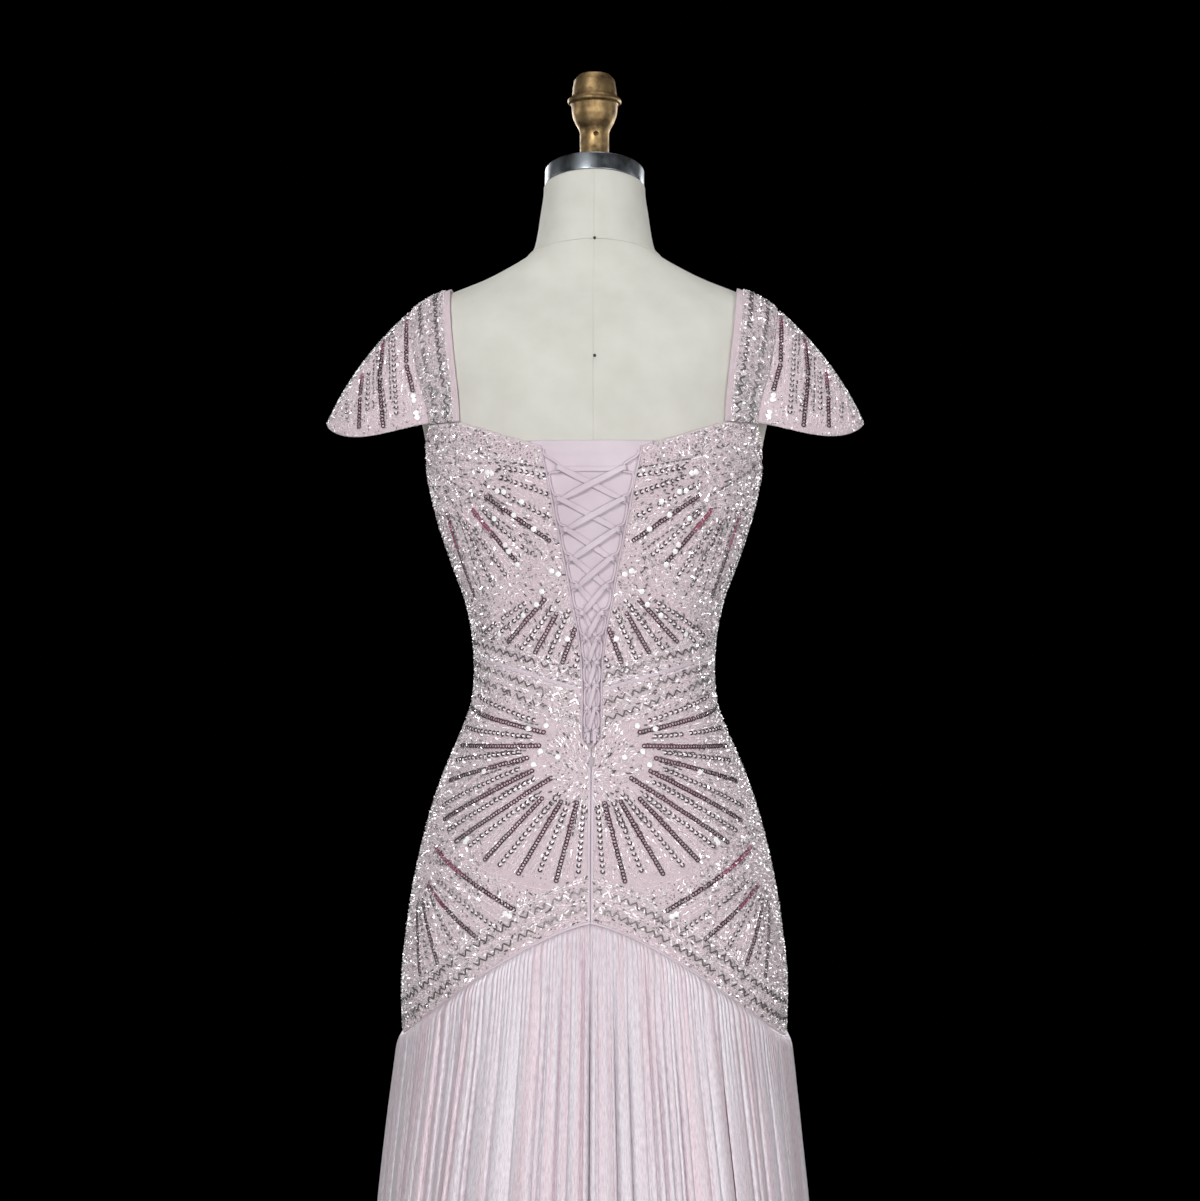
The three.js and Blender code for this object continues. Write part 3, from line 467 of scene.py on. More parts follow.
def tone_group():
    """Shared effect: a colour that wanders between two tones, and the value that it follows."""
    group = bpy.data.node_groups.new("tone_variation", "ShaderNodeTree")
    group_socket(group, "Light", "NodeSocketColor", "INPUT", (0.8, 0.8, 0.8, 1))
    group_socket(group, "Deep", "NodeSocketColor", "INPUT", (0.6, 0.6, 0.6, 1))
    group_socket(group, "Scale", "NodeSocketFloat", "INPUT", 100.0)
    group_socket(group, "Color", "NodeSocketColor", "OUTPUT")
    group_socket(group, "Value", "NodeSocketFloat", "OUTPUT")
    nodes, links = group.nodes, group.links
    entry, leave = nodes.new("NodeGroupInput"), nodes.new("NodeGroupOutput")
    place = nodes.new("ShaderNodeTexCoord")
    noise = nodes.new("ShaderNodeTexNoise")
    noise.inputs["Detail"].default_value = 3
    spread = nodes.new("ShaderNodeMapRange")
    spread.inputs["From Min"].default_value = 0.3
    spread.inputs["From Max"].default_value = 0.7
    blend = nodes.new("ShaderNodeMix")
    blend.data_type = "RGBA"
    links.new(place.outputs["Object"], noise.inputs["Vector"])
    links.new(entry.outputs["Scale"], noise.inputs["Scale"])
    links.new(noise.outputs["Fac"], spread.inputs["Value"])
    links.new(spread.outputs["Result"], blend.inputs["Factor"])
    links.new(entry.outputs["Light"], blend.inputs["A"])
    links.new(entry.outputs["Deep"], blend.inputs["B"])
    links.new(blend.outputs["Result"], leave.inputs["Color"])
    links.new(spread.outputs["Result"], leave.inputs["Value"])
    return group


def weave_group():
    """Shared effect: the height of a plain weave, from crossed threads."""
    group = bpy.data.node_groups.new("plain_weave", "ShaderNodeTree")
    group_socket(group, "Threads", "NodeSocketFloat", "INPUT", 1200.0)
    group_socket(group, "Height", "NodeSocketFloat", "OUTPUT")
    nodes, links = group.nodes, group.links
    entry, leave = nodes.new("NodeGroupInput"), nodes.new("NodeGroupOutput")
    place = nodes.new("ShaderNodeTexCoord")
    total = nodes.new("ShaderNodeMath")
    total.operation = "ADD"
    for k, direction in enumerate(("X", "Z")):
        wave = nodes.new("ShaderNodeTexWave")
        wave.bands_direction = direction
        wave.inputs["Distortion"].default_value = 1.5
        wave.inputs["Detail"].default_value = 1
        links.new(place.outputs["Object"], wave.inputs["Vector"])
        links.new(entry.outputs["Threads"], wave.inputs["Scale"])
        links.new(wave.outputs["Fac"], total.inputs[k])
    links.new(total.outputs[0], leave.inputs["Height"])
    return group


def streak_group():
    """Shared effect: long thin streaks along the cut's length, in two sizes."""
    group = bpy.data.node_groups.new("long_streaks", "ShaderNodeTree")
    group_socket(group, "Across", "NodeSocketFloat", "INPUT", 300.0)
    group_socket(group, "Along", "NodeSocketFloat", "INPUT", 6.0)
    group_socket(group, "Value", "NodeSocketFloat", "OUTPUT")
    nodes, links = group.nodes, group.links
    entry, leave = nodes.new("NodeGroupInput"), nodes.new("NodeGroupOutput")
    layout = nodes.new("ShaderNodeUVMap")
    layout.uv_map = "cut"
    stretch = nodes.new("ShaderNodeCombineXYZ")
    links.new(entry.outputs["Across"], stretch.inputs["X"])
    links.new(entry.outputs["Along"], stretch.inputs["Y"])
    scaled = nodes.new("ShaderNodeVectorMath")
    scaled.operation = "MULTIPLY"
    links.new(layout.outputs["UV"], scaled.inputs[0])
    links.new(stretch.outputs["Vector"], scaled.inputs[1])
    noise = nodes.new("ShaderNodeTexNoise")
    noise.inputs["Scale"].default_value = 1
    noise.inputs["Detail"].default_value = 4
    noise.inputs["Roughness"].default_value = 0.6
    links.new(scaled.outputs["Vector"], noise.inputs["Vector"])
    links.new(noise.outputs["Fac"], leave.inputs["Value"])
    return group


def add_group(tree, name, build, **values):
    """Places a shared effect in a material with its own values."""
    node = tree.nodes.new("ShaderNodeGroup")
    node.node_tree = bpy.data.node_groups.get(name) or build()
    for key, value in values.items():
        node.inputs[key.title()].default_value = value
    return node


def add_ramp(tree, source, stops):
    """A ramp between two colours that follows a value."""
    ramp = tree.nodes.new("ShaderNodeValToRGB")
    for element, (position, colour) in zip(ramp.color_ramp.elements, stops):
        element.position = position
        element.color = rgba(colour)
    tree.links.new(source, ramp.inputs["Fac"])
    return ramp.outputs["Color"]


def rgba(colour):
    return (*colour, 1.0)


def plain_material(name, roughness=0.5, metallic=0.0, **shader_values):
    """A material with its shader; the shader's own sockets hold the values that don't vary."""
    material = bpy.data.materials.get(name)
    if material:
        return material, None
    material = bpy.data.materials.new(name)
    material.use_nodes = True
    shader = material.node_tree.nodes["Principled BSDF"]
    shader.inputs["Roughness"].default_value = roughness
    shader.inputs["Metallic"].default_value = metallic
    for key, value in shader_values.items():
        shader.inputs[key.replace("_", " ").title().replace("Ior", "IOR")].default_value = value
    return material, shader


def add_tone(material, shader, light, deep, scale):
    tree = material.node_tree
    tone = add_group(tree, "tone_variation", tone_group, light=rgba(light), deep=rgba(deep), scale=scale)
    tree.links.new(tone.outputs["Color"], shader.inputs["Base Color"])
    return tone


def add_bump(material, shader, height, distance, strength=1.0):
    tree = material.node_tree
    bump = tree.nodes.new("ShaderNodeBump")
    bump.inputs["Distance"].default_value = distance
    bump.inputs["Strength"].default_value = strength
    tree.links.new(height, bump.inputs["Height"])
    tree.links.new(bump.outputs["Normal"], shader.inputs["Normal"])


def rough_from(material, shader, value, low, high):
    spread = material.node_tree.nodes.new("ShaderNodeMapRange")
    spread.inputs["To Min"].default_value = low
    spread.inputs["To Max"].default_value = high
    material.node_tree.links.new(value, spread.inputs["Value"])
    material.node_tree.links.new(spread.outputs["Result"], shader.inputs["Roughness"])


def woven(name, light, deep, threads, distance, roughness, scale=60.0, **shader_values):
    material, shader = plain_material(name, roughness, **shader_values)
    if shader:
        tone = add_tone(material, shader, light, deep, scale)
        weave = add_group(material.node_tree, "plain_weave", weave_group, threads=threads)
        add_bump(material, shader, weave.outputs["Height"], distance)
        rough_from(material, shader, tone.outputs["Value"], roughness - 0.05, roughness + 0.08)
    return material


def bead_finish(name, light, deep, metallic, roughness, scale=900.0, **shader_values):
    material, shader = plain_material(name, roughness, metallic, **shader_values)
    if shader:
        tone = add_tone(material, shader, light, deep, scale)
        rough_from(material, shader, tone.outputs["Value"], roughness, roughness + 0.12)
    return material


def metal_finish(name, light, deep, roughness, scale, distance):
    material, shader = plain_material(name, roughness, 1.0)
    if shader:
        tone = add_tone(material, shader, light, deep, scale)
        add_bump(material, shader, tone.outputs["Value"], distance)
        rough_from(material, shader, tone.outputs["Value"], roughness, roughness + 0.2)
    return material


def lame_finish(cut):
    """Pleated cloth shot with a pearly thread: streaks along its length turn from pink to lilac."""
    material, shader = plain_material("pearly_pleated_cloth", 0.42, 0.22, sheen_weight=0.25)
    if shader:
        tree = material.node_tree
        fine = add_group(tree, "long_streaks", streak_group, across=900.0, along=130.0)
        broad = add_group(tree, "long_streaks", streak_group, across=105.0, along=2.2)
        tone = add_ramp(tree, broad.outputs["Value"], ((0.42, cut.skirt_pink), (0.58, cut.skirt_lilac)))
        shade = add_ramp(tree, fine.outputs["Value"], ((0.3, (0.76, 0.70, 0.745)), (0.6, (1, 1, 1))))
        light = tree.nodes.new("ShaderNodeMix")
        light.data_type = "RGBA"
        light.blend_type = "MULTIPLY"
        light.inputs["Factor"].default_value = 1
        tree.links.new(tone, light.inputs["A"])
        tree.links.new(shade, light.inputs["B"])
        tree.links.new(light.outputs["Result"], shader.inputs["Base Color"])
        add_bump(material, shader, fine.outputs["Value"], 0.0007)
        rough_from(material, shader, fine.outputs["Value"], 0.5, 0.34)
    return material


def linen_finish(cut):
    """Off-white linen in a plain weave."""
    material, shader = plain_material("dress_form_linen", 0.85, sheen_weight=0.1)
    if shader:
        tone = add_tone(material, shader, cut.linen_light, cut.linen_deep, 35.0)
        weave = add_group(material.node_tree, "plain_weave", weave_group, threads=900.0)
        add_bump(material, shader, weave.outputs["Height"], 0.00006)
        rough_from(material, shader, tone.outputs["Value"], 0.78, 0.9)
    return material


def finishes(cut):
    """Every finish of the gown and its form, by name."""
    return {
        "linen": linen_finish(cut),
        "steel": metal_finish("neck_ring_steel", (0.30, 0.33, 0.35), (0.19, 0.21, 0.23), 0.24, 90.0, 0.00002),
        "gold": metal_finish("finial_old_gold", cut.gold, (0.11, 0.068, 0.034), 0.42, 90.0, 0.00025),
        "enamel": bead_finish("stand_enamel", (0.022, 0.022, 0.024), (0.035, 0.035, 0.037), 0.3, 0.4,
                              60.0),
        "pin": plain_material("pin_steel", 0.5, 1.0, base_color=(0.06, 0.055, 0.05, 1.0))[0],
        "tulle": woven("beaded_tulle", cut.tulle_light, cut.tulle_deep, 1500.0, 0.0001, 0.55, 140.0,
                       sheen_weight=0.3),
        "satin": woven("pale_satin", cut.satin, (0.60, 0.50, 0.56), 2600.0, 0.00002, 0.42, 22.0,
                       sheen_weight=0.2),
        "lame": lame_finish(cut),
        "tape": woven("zip_tape_weave", (0.66, 0.58, 0.61), (0.58, 0.5, 0.53), 1800.0, 0.00008, 0.7),
        "sequin": bead_finish("mauve_sequin", cut.sequin, (0.03, 0.01, 0.015), 0.1, 0.42, 500.0),
        "crimson": bead_finish("crimson_sequin", cut.crimson, (0.25, 0.05, 0.10), 0.3, 0.32, 500.0),
        # Paler hearts of the sequins, and the pale facets of their rims: painted highlights.
        "heart": bead_finish("sequin_painted_highlight", (0.62, 0.42, 0.50), (0.36, 0.20, 0.27), 0.1, 0.3, 500.0),
        "rose_painted_highlight": bead_finish("bright_sequin_painted_highlight", (0.52, 0.20, 0.28), (0.38, 0.12, 0.18), 0.1, 0.3,
                                  500.0),
        "cup": bead_finish("gunmetal_cup", (0.05, 0.035, 0.04), (0.02, 0.014, 0.017), 0.2, 0.36),
        "silver": bead_finish("silver_bugle", (1.0, 0.95, 0.965), (0.76, 0.67, 0.70), 0.3, 0.28),
        "mirror": bead_finish("mirror_bugle", (1.0, 0.98, 0.98), (0.84, 0.81, 0.82), 0.75, 0.2),
        "smoke": bead_finish("smoke_bugle", (0.22, 0.21, 0.20), (0.09, 0.08, 0.08), 0.4, 0.24),
        "clear": bead_finish("clear_seed", (1.0, 0.89, 0.925), (0.80, 0.65, 0.71), 0.0, 0.14,
                             coat_weight=0.8, coat_roughness=0.05),
        "sparkle": bead_finish("white_sparkle", (1.0, 1.0, 1.0), (0.95, 0.95, 0.95), 0.0, 0.12,
                               coat_weight=1.0, coat_roughness=0.03),
    }


# Sizes and colours that a user would change

class GOWN_PG_cut(bpy.types.PropertyGroup):
    """Colours of the gown and its form."""
    linen_light: bpy.props.FloatVectorProperty(
        name="Linen", description="Colour of the dress form's linen", subtype="COLOR", size=3,
        default=(0.71, 0.70, 0.64))
    linen_deep: bpy.props.FloatVectorProperty(
        name="Linen, deep", description="Second tone of the linen", subtype="COLOR", size=3,
        default=(0.65, 0.64, 0.58))
    tulle_light: bpy.props.FloatVectorProperty(
        name="Beaded cloth", description="Colour of the cloth under the beads", subtype="COLOR", size=3,
        default=(0.91, 0.755, 0.81))
    tulle_deep: bpy.props.FloatVectorProperty(
        name="Beaded cloth, deep", description="Second tone of that cloth", subtype="COLOR", size=3,
        default=(0.85, 0.685, 0.745))
    satin: bpy.props.FloatVectorProperty(
        name="Satin", description="Colour of the lacing and of the panel under it", subtype="COLOR", size=3,
        default=(0.70, 0.60, 0.66))
    skirt_pink: bpy.props.FloatVectorProperty(
        name="Skirt, pink", description="The skirt's pink tone", subtype="COLOR", size=3,
        default=(0.745, 0.625, 0.675))
    skirt_lilac: bpy.props.FloatVectorProperty(
        name="Skirt, lilac", description="The skirt's lilac tone", subtype="COLOR", size=3,
        default=(0.75, 0.705, 0.75))
    sequin: bpy.props.FloatVectorProperty(
        name="Sequins", description="Colour of the dark sequins", subtype="COLOR", size=3,
        default=(0.05, 0.014, 0.022))
    crimson: bpy.props.FloatVectorProperty(
        name="Bright sequins", description="Colour of the sequins where a ray begins", subtype="COLOR", size=3,
        default=(0.34, 0.08, 0.14))
    gold: bpy.props.FloatVectorProperty(
        name="Finial", description="Colour of the finial's gold", subtype="COLOR", size=3,
        default=(0.47, 0.325, 0.155))


class GOWN_PG_sizes(bpy.types.PropertyGroup):
    """Sizes of the gown's trimmings."""
    sequin_size: bpy.props.FloatProperty(
        name="Sequin", description="Diameter of a sequin", unit="LENGTH", default=0.0040, min=0.002)
    bead_size: bpy.props.FloatProperty(
        name="Seed bead", description="Diameter of a seed bead", unit="LENGTH", default=0.0019, min=0.001)
    bugle_width: bpy.props.FloatProperty(
        name="Bugle", description="Thickness of a bugle bead", unit="LENGTH", default=0.0012, min=0.0006)
    gathers: bpy.props.IntProperty(
        name="Gathers", description="Fine gathers round the skirt", default=224, min=40)
    floor_radius: bpy.props.FloatProperty(
        name="Floor", description="Radius of the pale floor", unit="LENGTH", default=1.25, min=0.3)


# Beads: places on the cloth and the run of their threads

BEAD_ORDER = (
    "sequin", "crimson", "heart", "rose_painted_highlight", "cup", "silver", "smoke", "clear", "sparkle", "mirror",
)


def cup_bead(rim, heart, depth, dark=8, facets=8, degrees=15):
    """A cupped sequin, tilted on its thread: its rim, round to the dark facets, and its paler heart; the heart
    and the rim's other facets carry a painted highlight.
    """
    turn = np.linspace(0, 2 * PI, facets, endpoint=False)
    around = np.stack([np.cos(turn), np.sin(turn)], -1)
    points = np.concatenate([
        np.column_stack([around * rim, np.full(facets, 0.5)]),
        np.column_stack([around * heart, np.full(facets, 0.5 - depth)]),
        [[0, 0, 0.5 - depth * 1.25], [0, 0, -0.3]],
    ])
    k = np.arange(facets)
    after = (k + 1) % facets
    middle, under = np.full(facets, 2 * facets), np.full(facets, 2 * facets + 1)
    faces = np.concatenate([
        np.stack([k, after, after + facets], -1),
        np.stack([k, after + facets, k + facets], -1),
        np.stack([k + facets, after + facets, middle], -1),
        np.stack([after, k, under], -1),
    ])
    # The heart and the rim facets outside the dark ones take the second, paler finish: a painted highlight.
    # The dark facets keep the sequin's own colour.
    pale = np.abs((k + 0.5) - facets / 2) < (facets - dark) / 2
    parts = np.concatenate([pale, pale, np.ones(facets, bool), np.zeros(facets, bool)]).astype(int)
    a = math.radians(degrees)
    x, z = points[:, 0].copy(), points[:, 2].copy()
    points[:, 0] = x * math.cos(a) - z * math.sin(a)
    points[:, 2] = x * math.sin(a) + z * math.cos(a)
    return points, faces, parts


def bugle_bead(length, width, height=1.0, flat_top=True):
    """A three-sided tube, with a side or an edge on top."""
    turn = np.radians([30, 150, 270]) + (0 if flat_top else PI)
    y, z = width / 2 * np.cos(turn), width / 2 * np.sin(turn) * height
    ends = [np.stack([np.full(3, x), y, z], -1) for x in (-length / 2, length / 2)]
    faces = np.array([(0, 1, 2), (5, 4, 3), (0, 3, 4), (0, 4, 1), (1, 4, 5), (1, 5, 2), (2, 5, 3), (2, 3, 0)])
    points = np.concatenate(ends)
    volume = (points[faces[:, 0]] * np.cross(points[faces[:, 1]], points[faces[:, 2]])).sum()
    return points, faces if volume > 0 else faces[:, ::-1], np.zeros(len(faces), int)


def seed_bead(width, height=0.8):
    """A small bead as a low four-sided peak."""
    r = width / 2
    foot = -0.3 * r
    points = np.array([(r, 0, foot), (0, r, foot), (-r, 0, foot), (0, -r, foot), (0, 0, height)])
    faces = [(0, 1, 4), (1, 2, 4), (2, 3, 4), (3, 0, 4), (0, 2, 1), (0, 3, 2)]
    return points, np.array(faces), np.zeros(len(faces), int)


def bead_shapes(sizes):
    """Shape of each kind of bead, its finishes and its height over the cloth."""
    rim = sizes.sequin_size / MM / 2
    width = sizes.bugle_width / MM
    seed = sizes.bead_size / MM
    return {
        # The second finish of each sequin and cup is a painted highlight on its heart and its pale rim facets.
        "sequin": (cup_bead(rim * 1.2, rim * 0.56, 0.3, degrees=11), ("sequin", "heart"), 0.7),
        "crimson": (cup_bead(rim * 1.2, rim * 0.56, 0.3, degrees=11), ("crimson", "rose_painted_highlight"), 0.7),
        "dark_sequin": (cup_bead(rim * 1.2, rim * 0.56, 0.3, degrees=11), ("cup", "heart"), 0.7),
        "cup": (cup_bead(rim * 1.15, rim * 0.46, 0.35, dark=6, degrees=20), ("cup", "clear"), 0.8),
        "sparkle": (cup_bead(rim * 1.35, rim * 0.6, -0.2, degrees=0), ("sparkle", "sparkle"), 1.3),
        # Zigzag legs: silver and smoke bugles, picked partly by slant as painted light and shade.
        "zig_light": (bugle_bead(5.8, width * 1.35), ("silver",), 1.2),
        "zig_dark": (bugle_bead(5.8, width * 1.15), ("smoke",), 1.3),
        "bugle": (bugle_bead(2.9, width * 0.95), ("silver",), 0.6),
        "pale_bugle": (bugle_bead(2.9, width * 0.95, 0.7, False), ("clear",), 0.5),
        "flash": (bugle_bead(3.3, width * 1.3), ("mirror",), 0.9),
        "dash": (bugle_bead(3.4, width * 1.25), ("smoke",), 0.7),
        "seed": (seed_bead(seed), ("clear",), 0.5),
        "silver_seed": (seed_bead(seed), ("silver",), 0.5),
        "tall_seed": (seed_bead(seed * 1.3, 2.2), ("mirror",), 0.3),
        "smoke_seed": (seed_bead(seed * 0.85), ("smoke",), 0.6),
    }


def read_path(path, lengths, t):
    """Places on a path in the cloth's flat layout, at lengths along it."""
    return np.stack([np.interp(t, lengths, path[:, k]) for k in (0, 1)], -1)


class ThreadWork:
    """Beads sewn on one piece of cloth: kind, place and direction in the cloth's own flat layout."""

    def __init__(self, seed, measure=None, spacing=1.0):
        self.random = np.random.default_rng(seed)
        self.spacing = spacing
        self.rows = {}
        self.measure = measure or (lambda path: path)

    def lengths_along(self, path):
        steps = np.linalg.norm(np.diff(self.measure(path), axis=0), axis=1)
        return np.concatenate([[0], np.cumsum(steps)])

    def add(self, kind, places, directions, sizes=None):
        places, directions = np.atleast_2d(places).astype(float), np.atleast_2d(directions).astype(float)
        if len(places) == 0:
            return
        if len(directions) == 1:
            directions = np.repeat(directions, len(places), 0)
        sizes = np.ones(len(places)) if sizes is None else sizes
        self.rows.setdefault(kind, []).append(np.column_stack([places, directions, sizes]))

    def along(self, kind, path, pitch, wander=0.0, turn=0.0, skip=0.0):
        """Beads at an even pitch along a path."""
        path = np.asarray(path, float)
        lengths = self.lengths_along(path)
        count = int(lengths[-1] // pitch)
        if count < 1:
            return
        t = (np.arange(count) + 0.5) * lengths[-1] / count
        if skip:
            t = t[self.random.random(count) > skip]
        places = read_path(path, lengths, t)
        directions = unit(read_path(path, lengths, t + 0.5) - read_path(path, lengths, t - 0.5))
        places = places + self.random.normal(0, 1, places.shape) * wander
        if turn:
            a = self.random.normal(0, turn, len(places))
            c, s = np.cos(a), np.sin(a)
            directions = np.stack([directions[:, 0] * c - directions[:, 1] * s,
                                   directions[:, 0] * s + directions[:, 1] * c], -1)
        self.add(kind, places, directions)

    def zigzag(self, path, amplitude, step):
        """Bugles end to end in a zigzag along a path, light and dark by turns: smoke more often on the legs of
        one slant, a painted shade by slant.
        """
        path = np.asarray(path, float)
        lengths = self.lengths_along(path)
        count = int(lengths[-1] // step)
        t = np.linspace(0, lengths[-1], count + 1)
        spine = read_path(path, lengths, t)
        along = unit(np.gradient(spine, axis=0))
        normal = np.stack([-along[:, 1], along[:, 0]], -1)
        corners = spine + normal * (amplitude / 2 * np.where(np.arange(count + 1) % 2, 1, -1))[:, None]
        corners += self.random.normal(0, 0.25, corners.shape)
        middles = (corners[1:] + corners[:-1]) / 2
        runs = corners[1:] - corners[:-1]
        sizes = np.linalg.norm(runs, axis=1) / 6.4
        # Smoke and silver bugles are the gown's own beads, but the share of smoke depends on the leg's slant:
        # painted shade on one slant, painted highlight on the other.
        dark = self.random.random(count) < np.where(np.arange(count) % 2, 0.75, 0.95)
        self.add("zig_dark", middles[dark], unit(runs[dark]), sizes[dark])
        self.add("zig_light", middles[~dark], unit(runs[~dark]), sizes[~dark])

    def strew(self, box, pitch, inside, direction, shares, turn=0.5):
        """Beads strewn over a region: kinds by their shares, along a direction that varies."""
        s0, s1, z0, z1 = box
        pitch = pitch * self.spacing
        s, z = np.meshgrid(np.arange(s0, s1, pitch), np.arange(z0, z1, pitch * 0.87))
        s = s + np.where(np.arange(len(s)) % 2, pitch / 2, 0)[:, None]
        places = np.stack([s.ravel(), z.ravel()], -1)
        places += self.random.uniform(-0.32, 0.32, places.shape) * pitch
        places = places[inside(places[:, 0], places[:, 1])]
        if len(places) == 0:
            return
        a = direction(places[:, 0], places[:, 1]) + self.random.normal(0, turn, len(places))
        directions = np.stack([np.cos(a), np.sin(a)], -1)
        pick = self.random.random(len(places))
        low = 0.0
        for kind, share in shares:
            chosen = (pick >= low) & (pick < low + share)
            self.add(kind, places[chosen], directions[chosen], self.random.uniform(0.85, 1.15, chosen.sum()))
            low += share


LOOSE = ("bugle", "pale_bugle", "seed", "silver_seed", "tall_seed", "smoke_seed", "dash", "flash")


def sew(name, works, sizes, finish):
    """Makes one piece of all the beads of some works, each with the function that finds its cloth."""
    shapes = bead_shapes(sizes)
    points, faces, picks, offset = [], [], [], 0
    leaning = np.random.default_rng(7)
    for work, find_cloth in works:
        for kind, groups in work.rows.items():
            rows = np.concatenate(groups)
            (shape, shape_faces, parts), names, lift = shapes[kind]
            place, tangent, normal, kept = find_cloth(rows[:, :2], rows[:, 2:4], lift)
            size = rows[kept, 4][:, None]
            lean = 0.36 * leaning.standard_normal((2, len(place), 1)) * (kind in LOOSE)
            normal = unit(normal + tangent * lean[0] + np.cross(normal, tangent) * lean[1])
            tangent = square_to(tangent, normal)
            across = np.cross(normal, tangent)
            bodies = (place[:, None]
                      + tangent[:, None] * (shape[None, :, :1] * size[:, None])
                      + across[:, None] * shape[None, :, 1:2]
                      + normal[:, None] * shape[None, :, 2:3])
            firsts = np.arange(len(place)) * len(shape) + offset
            points.append(bodies.reshape(-1, 3))
            faces.append((shape_faces[None] + firsts[:, None, None]).reshape(-1, 3))
            picks.append(np.tile(np.array([BEAD_ORDER.index(n) for n in names])[parts], len(place)))
            offset += len(place) * len(shape)
    mesh = make_mesh(name, np.concatenate(points), [np.concatenate(faces)], picks=np.concatenate(picks),
                     smooth=False)
    return new_piece(name, mesh, [finish[kind] for kind in BEAD_ORDER])


def on_panel(side, is_front, low, high, edge=None):
    """Finds the cloth of a fitted panel, on side +1 or -1; s runs from its centre line to its side seam."""
    clear, reach = 0.8, 1.2

    def beside(s, z, d, way):
        z = z + way * d[:, 1] * reach
        return cloth_top(side * angle_of(s + way * d[:, 0] * reach, z, is_front), z)

    def find(places, directions, lift):
        s, z = places[:, 0], places[:, 1]
        angle = angle_of(s, z, is_front)
        limit = PI / 2
        margin = reach / body_radius(angle, z)
        kept = (z > low(angle) + clear) & (z < high(angle) - clear) & (s > 0.6)
        if is_front:
            kept &= angle > limit + margin
        else:
            kept &= angle < limit - margin
            if edge is not None:
                kept &= on_body(angle, z)[:, 0] > edge(z)
        s, z, angle, d = s[kept], z[kept], angle[kept], directions[kept]
        tangent = unit(beside(s, z, d, 1) - beside(s, z, d, -1))
        base = cloth_top(side * angle, z)
        normal = unit(cloth_top(side * angle, z, 1.0) - base)
        tangent = square_to(tangent, normal)
        return base + normal * lift, tangent, normal, kept
    return find


class Surface:
    """A grid of points that can be read between them, with its outward side."""

    def __init__(self, grid):
        self.grid = grid
        self.rows, self.columns = grid.shape[:2]

    def at(self, u, v):
        a = np.clip(u, 0, 1) * (self.rows - 1.0001)
        b = np.clip(v, 0, 1) * (self.columns - 1.0001)
        i, j = a.astype(int), b.astype(int)
        p, q = (a - i)[:, None], (b - j)[:, None]
        g = self.grid
        return mix(mix(g[i, j], g[i + 1, j], p), mix(g[i, j + 1], g[i + 1, j + 1], p), q)

    def finder(self, scale, flip):
        """Finds the cloth for places in millimetres of this surface's two directions."""
        def find(places, directions, lift):
            u, v = places[:, 0] / scale[0], places[:, 1] / scale[1]
            du, dv = directions[:, 0] / scale[0], directions[:, 1] / scale[1]
            kept = (u > 0.003) & (u < 0.997) & (v > 0.01) & (v < 0.99)
            u, v, du, dv = u[kept], v[kept], du[kept], dv[kept]
            tangent = unit(self.at(u + du, v + dv) - self.at(u - du, v - dv))
            e = 0.01
            around = self.at(u + e, v) - self.at(u - e, v)
            normal = unit(np.cross(around, self.at(u, v + e) - self.at(u, v - e)))
            if flip:
                normal = -normal
            tangent = square_to(tangent, normal)
            return self.at(u, v) + normal * lift, tangent, normal, kept
        return find


# The dress form

FORM_SEAM = 1452.0                   # round the foot of the neck
FORM_PIN = 1352.0                    # the pin below the one in that seam
SEAM_TURNS, SEAM_RUNS = 161, 90      # points round the neck and down the back
NECK_RING = {"radius": 47.5, "height": 18.5}
FINIAL = (      # radius and height, above its straight foot
    (13.9, 1577), (15.2, 1581), (18.8, 1587), (21.3, 1594), (22.2, 1602), (22.6, 1604.6), (25.2, 1605.2),
    (26, 1607), (25.2, 1609.6), (22.4, 1610.4), (21.4, 1613), (20.8, 1620), (19.2, 1628), (14.5, 1633),
    (6, 1634.8), (0, 1635),
)
FINIAL_HOLE = {"x": -1.8, "z": 1574, "radius": 2.5, "from": 6.0, "to": 20.0}
STAND_BASE = ((0, 0), (153.5, 0), (155, 1.5), (155, 9), (149, 14), (35, 18), (27, 26), (21, 48), (0, 48))
STAND_POLE = ((0, 48.4), (12.5, 48.4), (12.5, 60), (11.4, 61.5), (11.4, 640), (12.5, 641.5), (12.5, 699.6),
              (0, 699.6))


def make_linen_torso(finish):
    heights = np.concatenate([np.linspace(BODY[0, 0], 1400, 72), np.linspace(1403, NECK_TOP, 46)])
    columns = 128
    angle = np.linspace(0, 2 * PI, columns, endpoint=False)
    grid = on_body(angle[None, :], heights[:, None])
    grid[..., 2] += body_tilt(heights)[:, None] * grid[..., 1]
    inset = unit(grid[0] * (1, 1, 0))
    grid = np.concatenate([[grid[0] - inset * 4, grid[0] - inset * 1.5], grid])
    return solid_piece("linen_torso", closed_rings(grid), finish["linen"], ["form_torso"])


def on_linen(angle, z, out):
    """Points that stand a little out from the linen, at a height given along the body."""
    points = off_body(angle, z, out)
    points[..., 2] += body_tilt(z) * points[..., 1]
    return points


def make_form_seams(finish):
    """The stitched seam round the foot of the neck and the one down the centre back."""
    turns = np.linspace(0, 2 * PI, SEAM_TURNS)
    neck = on_linen(turns, np.full(SEAM_TURNS, FORM_SEAM), 0.25)
    heights = np.linspace(1270.0, NECK_TOP - 1.5, SEAM_RUNS)
    back = on_linen(np.full(SEAM_RUNS, -0.015), heights, 0.0)
    around = np.stack([np.cos(turns), -np.sin(turns), 0 * turns], -1)
    bodies = [
        sweep(neck, np.cross(around, (0, 0, 1.0)), round_section(0.75, 8)),
        sweep(back, np.array([(1, 0, 0)] * SEAM_RUNS), round_section(0.7, 8, 0.5)),
    ]
    return solid_piece("form_seams", bodies, finish["linen"])


